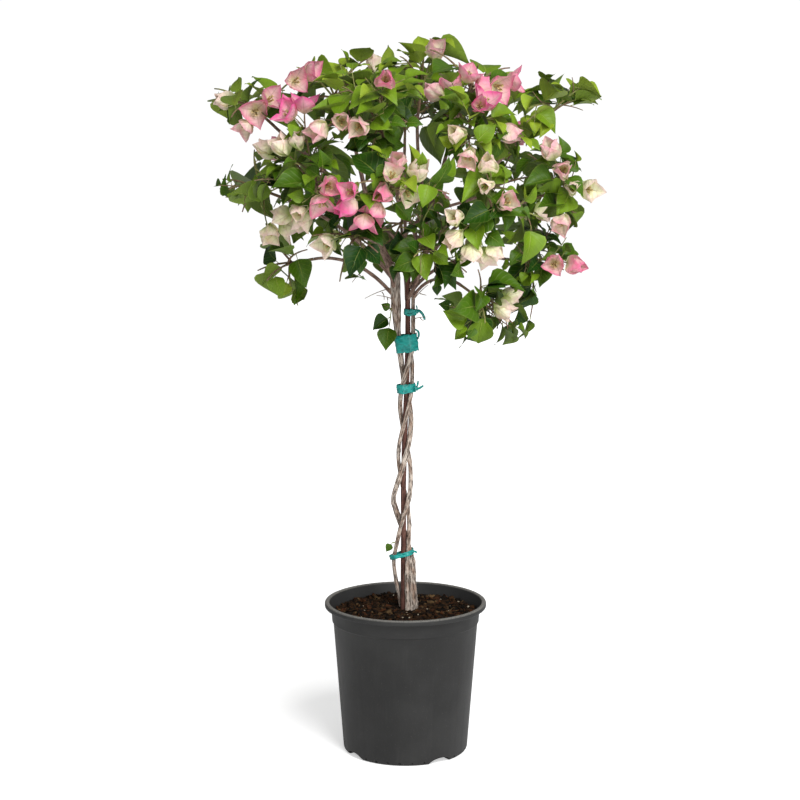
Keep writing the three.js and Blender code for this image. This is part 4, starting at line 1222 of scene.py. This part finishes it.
sprigs = [
    {"name": "sprig_left", "stem": 0, "z": 702, "turn": 203, "run": (-3, -6, -26),
     "leaves": [(-101, -0.43, 42), (-147, -0.25, 34), (148, -0.1, 18)]},
    {"name": "sprig_low", "stem": 2, "z": 334, "turn": 205, "run": (-5, -2, -1),
     "leaves": [(-128, -0.25, 17)]},
]
bm, stalks = bmesh.new(), bmesh.new()
for sprig in sprigs:
    stem = stems[sprig["stem"]]
    side = polar(sprig["turn"], 1, 0)
    root = stemMiddle(stem, sprig["z"]) + side * (atStation(stem["radius"], sprig["z"]) - 0.5)
    end = root + Vector(sprig["run"])
    addTwig(stalks, twigletRod, lambda part: root.lerp(end, part), 0.9, 0.9, 5, None, 1)
    for k, (turn, lean, length) in enumerate(sprig["leaves"]):
        angle = math.radians(turn)
        along = Vector((math.cos(angle), lean, math.sin(angle))).normalized()
        place = root.lerp(end, 1 - 0.4 * k)
        blade = makeBlade(place, along, Vector((-0.2, -1, 0.3)), length, length * 0.78, 1, 1)
        addLeaf(bm, stalks, blade, 2 + k % 2, 0.1 + 0.3 * k)
finishPiece("sprigLeaves", bm, leafMaterials, [sprig["name"] for sprig in sprigs])
finishPiece("sprigStalks", stalks, twigMaterials)

# ---- tape ties ----

ties = [  # trim: knots by place, size and seed, tails by places, width and twist, off the band's right side
    {"name": "tie_upper", "z": 693, "height": 9, "tilt": 0, "skips": "braid_stem_thick", "trim": [
        ("knot", [(1, -4, 1)], (3.6, 3.0, 3.4), 1),
        ("tail", [(0, -5, 2), (5, -5, 3), (11, -6, -3), (14, -6, -11)], 5, 1.4),
        ("tail", [(-2, -5, 0), (-8, -7, -4), (-14, -7, -3)], 5, 0.8),
        ("tail", [(0, -5, 0), (2, -6, 6), (1, -6, 11)], 3.4, 0.8)]},
    {"name": "tie_wide", "z": 645, "height": 27, "tilt": 8, "trim": [
        ("tail", [(-3, -3, 4), (2, -4, 10), (2, -4, 18), (-3, -4, 22)], 4.2, 2.2),
        ("knot", [(-2, -4, 4)], (2.6, 2.4, 4.0), 2)]},
    {"name": "tie_knotted", "z": 575, "height": 14, "tilt": 4, "trim": [
        ("knot", [(1, -4, 0)], (4.2, 3.2, 3.8), 3),
        ("tail", [(2, -5, 0), (4, -5, 6), (5, -6, 12)], 4, 1.2),
        ("tail", [(2, -5, 0), (7, -6, 1), (13, -6, 5)], 4, 1.6)]},
    {"name": "tie_low", "z": 314, "height": 7, "tilt": 15, "follows": True, "trim": [
        ("knot", [(-1, -4, 0)], (2.6, 2.2, 2.4), 4),
        ("tail", [(-1, -4, 0), (3, -5, 1), (6, -5, -1)], 4, 0.6)]},
]
tape = {"clearance": 0.55, "thickness": 0.9, "sides": 60, "rows": 9, "wrinkle": 0.9,
        "tailThickness": 0.5}


# The convex outline round the stems that a tie wraps, in the slanted tie's own frame.
def tieOutline(tie, grow):
    tilt = math.radians(tie["tilt"])
    around = []
    for name in stemCurves:
        if name == tie.get("skips"):
            continue
        for place, radius in zip(limbs[name]["points"], limbs[name]["radii"]):
            rise = place.z - tie["z"]
            level = rise * math.cos(tilt) - place.x * math.sin(tilt)
            if abs(level) > tie["height"] / 2 + 4:
                continue
            for k in range(16):
                turn = fullTurn * k / 16
                across = place.x * math.cos(tilt) + rise * math.sin(tilt) + (radius + grow) * math.cos(turn)
                around.append(Vector((across, place.y + (radius + grow) * math.sin(turn))))
    return [around[k] for k in convex_hull_2d(around)]


def outlineAt(outline, angle):
    middle = sum(outline, Vector((0, 0))) / len(outline)
    heading = Vector((math.cos(angle), math.sin(angle)))
    best = 0.0
    for one, other in zip(outline, outline[1:] + outline[:1]):
        edge = other - one
        cross = heading.x * edge.y - heading.y * edge.x
        if abs(cross) < 1e-9:
            continue
        away = one - middle
        reach = (away.x * edge.y - away.y * edge.x) / cross
        part = (away.x * heading.y - away.y * heading.x) / cross
        if reach > 0 and -1e-6 <= part <= 1 + 1e-6:
            best = max(best, reach)
    return middle + heading * best


bandShape = rodShape(tape["sides"], tape["rows"], capped=False)


def thickened(part, thickness):
    bmesh.ops.solidify(part, geom=part.faces[:], thickness=thickness)
    bmesh.ops.recalc_face_normals(part, faces=part.faces)
    return shapeFrom(part)


def addBand(bm, tie, seed):
    outline = tieOutline(tie, tape["clearance"])
    band = bandShape.copy()
    tilt = math.radians(tie["tilt"])
    for vertex in band.vertices:
        angle, level = math.atan2(vertex.co.y, vertex.co.x), vertex.co.z - 0.5
        spot = outlineAt(outline, angle)
        heading = Vector((math.cos(angle), math.sin(angle)))
        crease = Vector((heading.x * 1.6, heading.y * 1.6 + seed, level * tie["height"] / 2.6))
        fold = abs(noise.noise(crease))
        pinch = 1 - 0.16 * noise.noise(Vector((heading.x * 2.2, heading.y * 2.2, seed)))
        spot = spot + heading * (fold * tape["wrinkle"] * 2)
        height = level * tie["height"] * pinch
        vertex.co = (spot.x * math.cos(tilt) - height * math.sin(tilt), spot.y,
                     tie["z"] + spot.x * math.sin(tilt) + height * math.cos(tilt))
    part = bmesh.new()
    absorb(part, band)
    absorb(bm, thickened(part, -tape["thickness"]))
    return max(spot.x for spot in outline) * math.cos(tilt)


# A flat tail of tape through a few points, narrowing and twisting towards its cut end.
def addTail(bm, places, width, twist):
    part = bmesh.new()
    bmesh.ops.create_grid(part, x_segments=2, y_segments=10, size=0.5)
    curve = throughKeys(places)
    for vert in part.verts:
        v = vert.co.y + 0.5
        tangent = tangentOf(curve, v)
        side = sideways(tangent, 0.4 + twist * v)
        bulge = tangent.cross(side) * (0.5 * math.cos(vert.co.x * math.pi))
        vert.co = curve(v) + side * (vert.co.x * width * (1 - 0.35 * v)) + bulge
    absorb(bm, thickened(part, tape["tailThickness"]))


def addKnot(bm, place, size, seed):
    part = bmesh.new()
    bmesh.ops.create_icosphere(part, subdivisions=3, radius=1)
    for vert in part.verts:
        crumple = 1 + 0.45 * noise.noise(vert.co * 2.1 + Vector((seed, 0, 0)))
        vert.co = place + Vector([one * length * crumple for one, length in zip(vert.co, size)])
    absorb(bm, shapeFrom(part))


tapeMade = tapeMaterial()
for seed, tie in enumerate(ties):
    bm = bmesh.new()
    x, z = addBand(bm, tie, seed * 3.7), tie["z"]
    z += math.sin(math.radians(tie["tilt"])) * x if tie.get("follows") else 0
    for kind, spots, *rest in tie["trim"]:
        places = [Vector((x + right, back, z + rise)) for right, back, rise in spots]
        if kind == "knot":
            addKnot(bm, places[0], *rest)
        else:
            addTail(bm, places, *rest)
    finishPiece(f"taped_{tie['name']}", bm, [tapeMade], [tie["name"]])
print("ties made")

# ---- the pot ----

pot = {
    "steps": 144, "height": 238, "wall": 2.2, "floor": 3, "footFlat": 92, "footRadius": 98, "footRise": 9,
    "bandRadius": 113.2, "bandFrom": 205, "bandStep": 1.8, "bandTop": 226, "bandTopRadius": 116.6,
    "lipRadius": 126.6, "lipInner": 119.2, "lipHeight": 8.5, "notches": 4, "notchTurn": -56,
    "notchWidth": 40, "notchHeight": 9, "pits": 32, "pitRadius": 2.2,
    "pitsFromNotch": 14, "sharpEdge": 32,  # degrees
}


def arc(out, height, radius, start, end, steps):
    turns = [math.radians(mixed(start, end, k / steps)) for k in range(steps + 1)]
    return [(out + radius * math.cos(turn), height + radius * math.sin(turn)) for turn in turns]


def potProfile():
    top, wall, foot, floor = (pot[key] for key in ("height", "wall", "footFlat", "floor"))
    low, lowHeight, high, highHeight = (
        pot[key] for key in ("bandRadius", "bandFrom", "bandTopRadius", "bandTop"))
    lip, lipFrom, lipInner = pot["lipRadius"], top - pot["lipHeight"], pot["lipInner"]
    return [
        (0, 0), (foot - 22, 0), *arc(foot, 6, 6, -90, -8, 5), (low, lowHeight),
        *arc(low + 0.2, lowHeight + 3, pot["bandStep"], -70, 10, 3), (high, highHeight),
        (high + 1.2, highHeight + 2.2), *arc(lip - 2.2, lipFrom + 2.4, 2.2, -90, -10, 4),
        *arc(lip - 2.8, top - 2.8, 2.8, 10, 90, 5), *arc(lipInner + 2.4, top - 2.4, 2.4, 90, 180, 4),
        (high - wall, highHeight + 1), (low - wall, lowHeight + 1),
        (pot["footRadius"] - wall, pot["footRise"]), (foot, floor), (0, floor),
    ]


def spun(profile, steps):
    bm = bmesh.new()
    verts = [bm.verts.new((radius, 0, height)) for radius, height in profile]
    edges = [bm.edges.new(pair) for pair in zip(verts, verts[1:])]
    bmesh.ops.spin(bm, geom=verts + edges, cent=(0, 0, 0), axis=(0, 0, 1), angle=fullTurn, steps=steps,
                   use_merge=True)
    bmesh.ops.remove_doubles(bm, verts=bm.verts, dist=0.001)
    bmesh.ops.recalc_face_normals(bm, faces=bm.faces)
    return bm


# The drain notches and the row of small pits round the foot, as one cutter.
def footCutter():
    bm = bmesh.new()
    half, tall = pot["notchWidth"] / 2, pot["notchHeight"]
    for k in range(pot["notches"]):
        turn = math.radians(pot["notchTurn"] + k * 360 / pot["notches"])
        part = bmesh.new()
        bmesh.ops.create_cone(part, cap_ends=True, segments=32, radius1=half, radius2=half, depth=30)
        lying = Matrix.Rotation(math.pi / 2, 4, "Y") @ Matrix.Diagonal((tall / half, 1, 1, 1))
        bmesh.ops.transform(part, matrix=lying, verts=part.verts)
        bmesh.ops.translate(part, vec=(pot["footFlat"], 0, 0), verts=part.verts)
        bmesh.ops.rotate(part, cent=(0, 0, 0), matrix=Matrix.Rotation(turn, 3, "Z"), verts=part.verts)
        absorb(bm, shapeFrom(part))
    for k in range(pot["pits"]):
        turn = pot["notchTurn"] + (k + 0.5) * 360 / pot["pits"]
        away = (turn - pot["notchTurn"]) % 90
        if min(away, 90 - away) < pot["pitsFromNotch"]:
            continue
        part = bmesh.new()
        bmesh.ops.create_icosphere(part, subdivisions=2, radius=pot["pitRadius"])
        bmesh.ops.translate(part, vec=polar(turn, pot["footRadius"] - 0.6, 4.2), verts=part.verts)
        absorb(bm, shapeFrom(part))
    return bm


shell = placed("shell", shapeFrom(spun(potProfile(), pot["steps"])))
cutter = placed("cutter", shapeFrom(footCutter()))
cut = shell.modifiers.new("notches", "BOOLEAN")
cut.operation, cut.solver, cut.object = "DIFFERENCE", "EXACT", cutter
bpy.context.view_layer.update()
carved = bpy.data.meshes.new_from_object(shell.evaluated_get(bpy.context.evaluated_depsgraph_get()))
for spare in (shell, cutter):
    bpy.data.objects.remove(spare)
bm = bmesh.new()
bm.from_mesh(carved)
for edge in bm.edges:
    edge.smooth = len(edge.link_faces) == 2 and edge.calc_face_angle(0) < math.radians(pot["sharpEdge"])
finishPiece("nurseryPot", bm, [potMaterial()], ["pot"])
print("pot made")

# ---- potting mix ----

soil = {"top": 222, "radius": 112.5, "edgeDrop": 3.5, "lump": 2.6, "chips": 1500, "fibres": 150, "grit": 60}


def soilHeight(x, y):
    out = math.hypot(x, y) / soil["radius"]
    rough = noise.noise(Vector((x, y, 0)) / 9) + 0.6 * noise.noise(Vector((x, y, 5)) / 3.5)
    return soil["top"] + 1.6 - soil["edgeDrop"] * out ** 2.5 + soil["lump"] * rough * 0.8


bm = spun([(0, soil["top"])] + [(soil["radius"] * k / 44, soil["top"]) for k in range(1, 45)], 150)
for vert in bm.verts:
    vert.co.z = soilHeight(vert.co.x, vert.co.y)
if sum(face.normal.z for face in bm.faces) < 0:
    bmesh.ops.reverse_faces(bm, faces=bm.faces)
finishPiece("mixSurface", bm, [mixDark])
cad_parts["soil"].data.materials.clear()
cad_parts["soil"].data.materials.append(mixDark)


# A splinter of bark: a block worn to uneven corners.
def chipShape(seed):
    draw = seeded(seed)
    bm = bmesh.new()
    bmesh.ops.create_cube(bm, size=1)
    bmesh.ops.subdivide_edges(bm, edges=bm.edges[:], cuts=1, use_grid_fill=True)
    for vert in bm.verts:
        vert.co *= 0.75 + 0.5 * draw()
    return shapeFrom(bm)


chipShapes = [chipShape(seed) for seed in range(9000, 9006)]
chipLooks = [
    crumbMaterial("chipBrown", (0.042, 0.020, 0.008), (0.012, 0.006, 0.003)),
    crumbMaterial("chipRed", (0.070, 0.026, 0.010), (0.024, 0.009, 0.004)),
    crumbMaterial("chipBlack", (0.011, 0.007, 0.004), (0.004, 0.0025, 0.0015)),
    crumbMaterial("chipTan", (0.12, 0.072, 0.032), (0.045, 0.026, 0.012)),
    crumbMaterial("grit", (0.50, 0.44, 0.34), (0.30, 0.25, 0.18)),
]


def stemsClear(x, y):
    return all((limb["points"][0].xy - Vector((x, y))).length > limb["radii"][0] + 1.5
               for name, limb in limbs.items() if name in stemCurves)


def scatter(bm, count, seed, sizeOf, lookOf):
    draw = seeded(seed)
    for _ in range(count):
        turn, out = draw() * fullTurn, math.sqrt(draw()) * (soil["radius"] - 4)
        x, y = out * math.cos(turn), out * math.sin(turn)
        size, look = sizeOf(draw), lookOf(draw())
        tilt = Matrix.Rotation(draw() * fullTurn, 4, "Z") @ Matrix.Rotation((draw() - 0.5) * 1.1, 4, "X")
        tilt = tilt @ Matrix.Rotation((draw() - 0.5) * 1.1, 4, "Y")
        shape = chipShapes[int(draw() * len(chipShapes)) % len(chipShapes)]
        if stemsClear(x, y):
            place = Matrix.Translation((x, y, soilHeight(x, y) + size[2] * 0.25))
            addShape(bm, shape, place @ tilt @ Matrix.Diagonal((*size, 1)), look)


def chipSize(draw):
    length = 2.5 + 9.5 * draw() ** 2.2
    return (length, length * mixed(0.35, 0.8, draw()), length * mixed(0.18, 0.45, draw()))


def chipLook(part):
    return 0 if part < 0.46 else 1 if part < 0.62 else 2 if part < 0.9 else 3


bm = bmesh.new()
scatter(bm, soil["chips"], 8100, chipSize, chipLook)
scatter(bm, soil["fibres"], 8200, lambda draw: (6 + 16 * draw(), 0.8 + draw(), 0.8),
        lambda part: 3 if part < 0.6 else 1)
scatter(bm, soil["grit"], 8300, lambda draw: (1.2 + 1.4 * draw(),) * 3, lambda part: 4)
finishPiece("mixChips", bm, chipLooks)
print("potting mix made")

# ---- floor, light and camera ----

studio = {
    "floor": 14.0, "backdrop": 1.03, "world": 0.28, "floorGlow": 0.08,
    "floorSeen": 0.52, "floorFar": 1.0, "floorRise": (0.3, 1.8),  # how it looks near the pot and far off
    "keyPower": 132.0, "keySize": 1.9, "keyPlace": (1.2, -2.55, 2.95),
    "fillPower": 32.0, "fillSize": 1.6, "fillPlace": (0.9, -3.3, 1.2),
    "target": (0, 0, 0.7),
}
view = {"place": (-0.0086, -3.0, 1.0165), "pitch": 8.72, "focal": 1963.7, "width": 800}

bm = bmesh.new()
bmesh.ops.create_grid(bm, x_segments=1, y_segments=1, size=studio["floor"] / 2)
floorMesh = shapeFrom(bm)
floorMaterial, tree = newMaterial("studioFloor", (0.96, 0.96, 0.96), 0.9)
reach = addNode(tree, "VectorMath", {0: objectSpace(tree)}, operation="LENGTH").outputs["Value"]
farPart = spread(tree, reach, *studio["floorRise"])
rise = studio["floorFar"] - studio["floorSeen"]
seenGlow = maths(tree, "MULTIPLY_ADD", farPart, rise, studio["floorSeen"])
seen = addNode(tree, "LightPath").outputs["Is Camera Ray"]
glow = maths(tree, "MULTIPLY_ADD", seen, minus(tree, seenGlow, studio["floorGlow"]), studio["floorGlow"])
look = {"Specular IOR Level": 0.0, "Emission Color": (1, 1, 1), "Emission Strength": glow}
feed(tree, tree.nodes["Principled BSDF"], look)
floorMesh.materials.append(floorMaterial)
floor = placed("studioFloor", floorMesh)


def addLamp(name, place, size, power):
    lamp = bpy.data.lights.new(name, "AREA")
    lamp.shape, lamp.size, lamp.energy = "DISK", size, power
    held = placed(name, lamp)
    held.location = place
    held.rotation_euler = (Vector(studio["target"]) - Vector(place)).to_track_quat("-Z", "Y").to_euler()


addLamp("keyLamp", studio["keyPlace"], studio["keySize"], studio["keyPower"])
addLamp("fillLamp", studio["fillPlace"], studio["fillSize"], studio["fillPower"])
world = bpy.data.worlds.new("studioWorld")
world.use_nodes = True
sky = world.node_tree
seen = addNode(sky, "LightPath").outputs["Is Camera Ray"]
brightness = plus(sky, times(sky, seen, studio["backdrop"] - studio["world"]), studio["world"])
feed(sky, sky.nodes["Background"], {"Color": (1, 1, 1), "Strength": brightness})
bpy.context.scene.world = world
bpy.context.scene.view_settings.view_transform = "Standard"

lens = bpy.data.cameras.new("studioCamera")
lens.sensor_fit = "HORIZONTAL"
lens.angle = 2 * math.atan(view["width"] / 2 / view["focal"])
lens.clip_end = 100
camera = placed("studioCamera", lens)
camera.location = view["place"]
camera.rotation_euler = (math.radians(90 - view["pitch"]), 0, 0)
bpy.context.scene.camera = camera

print("scene made")
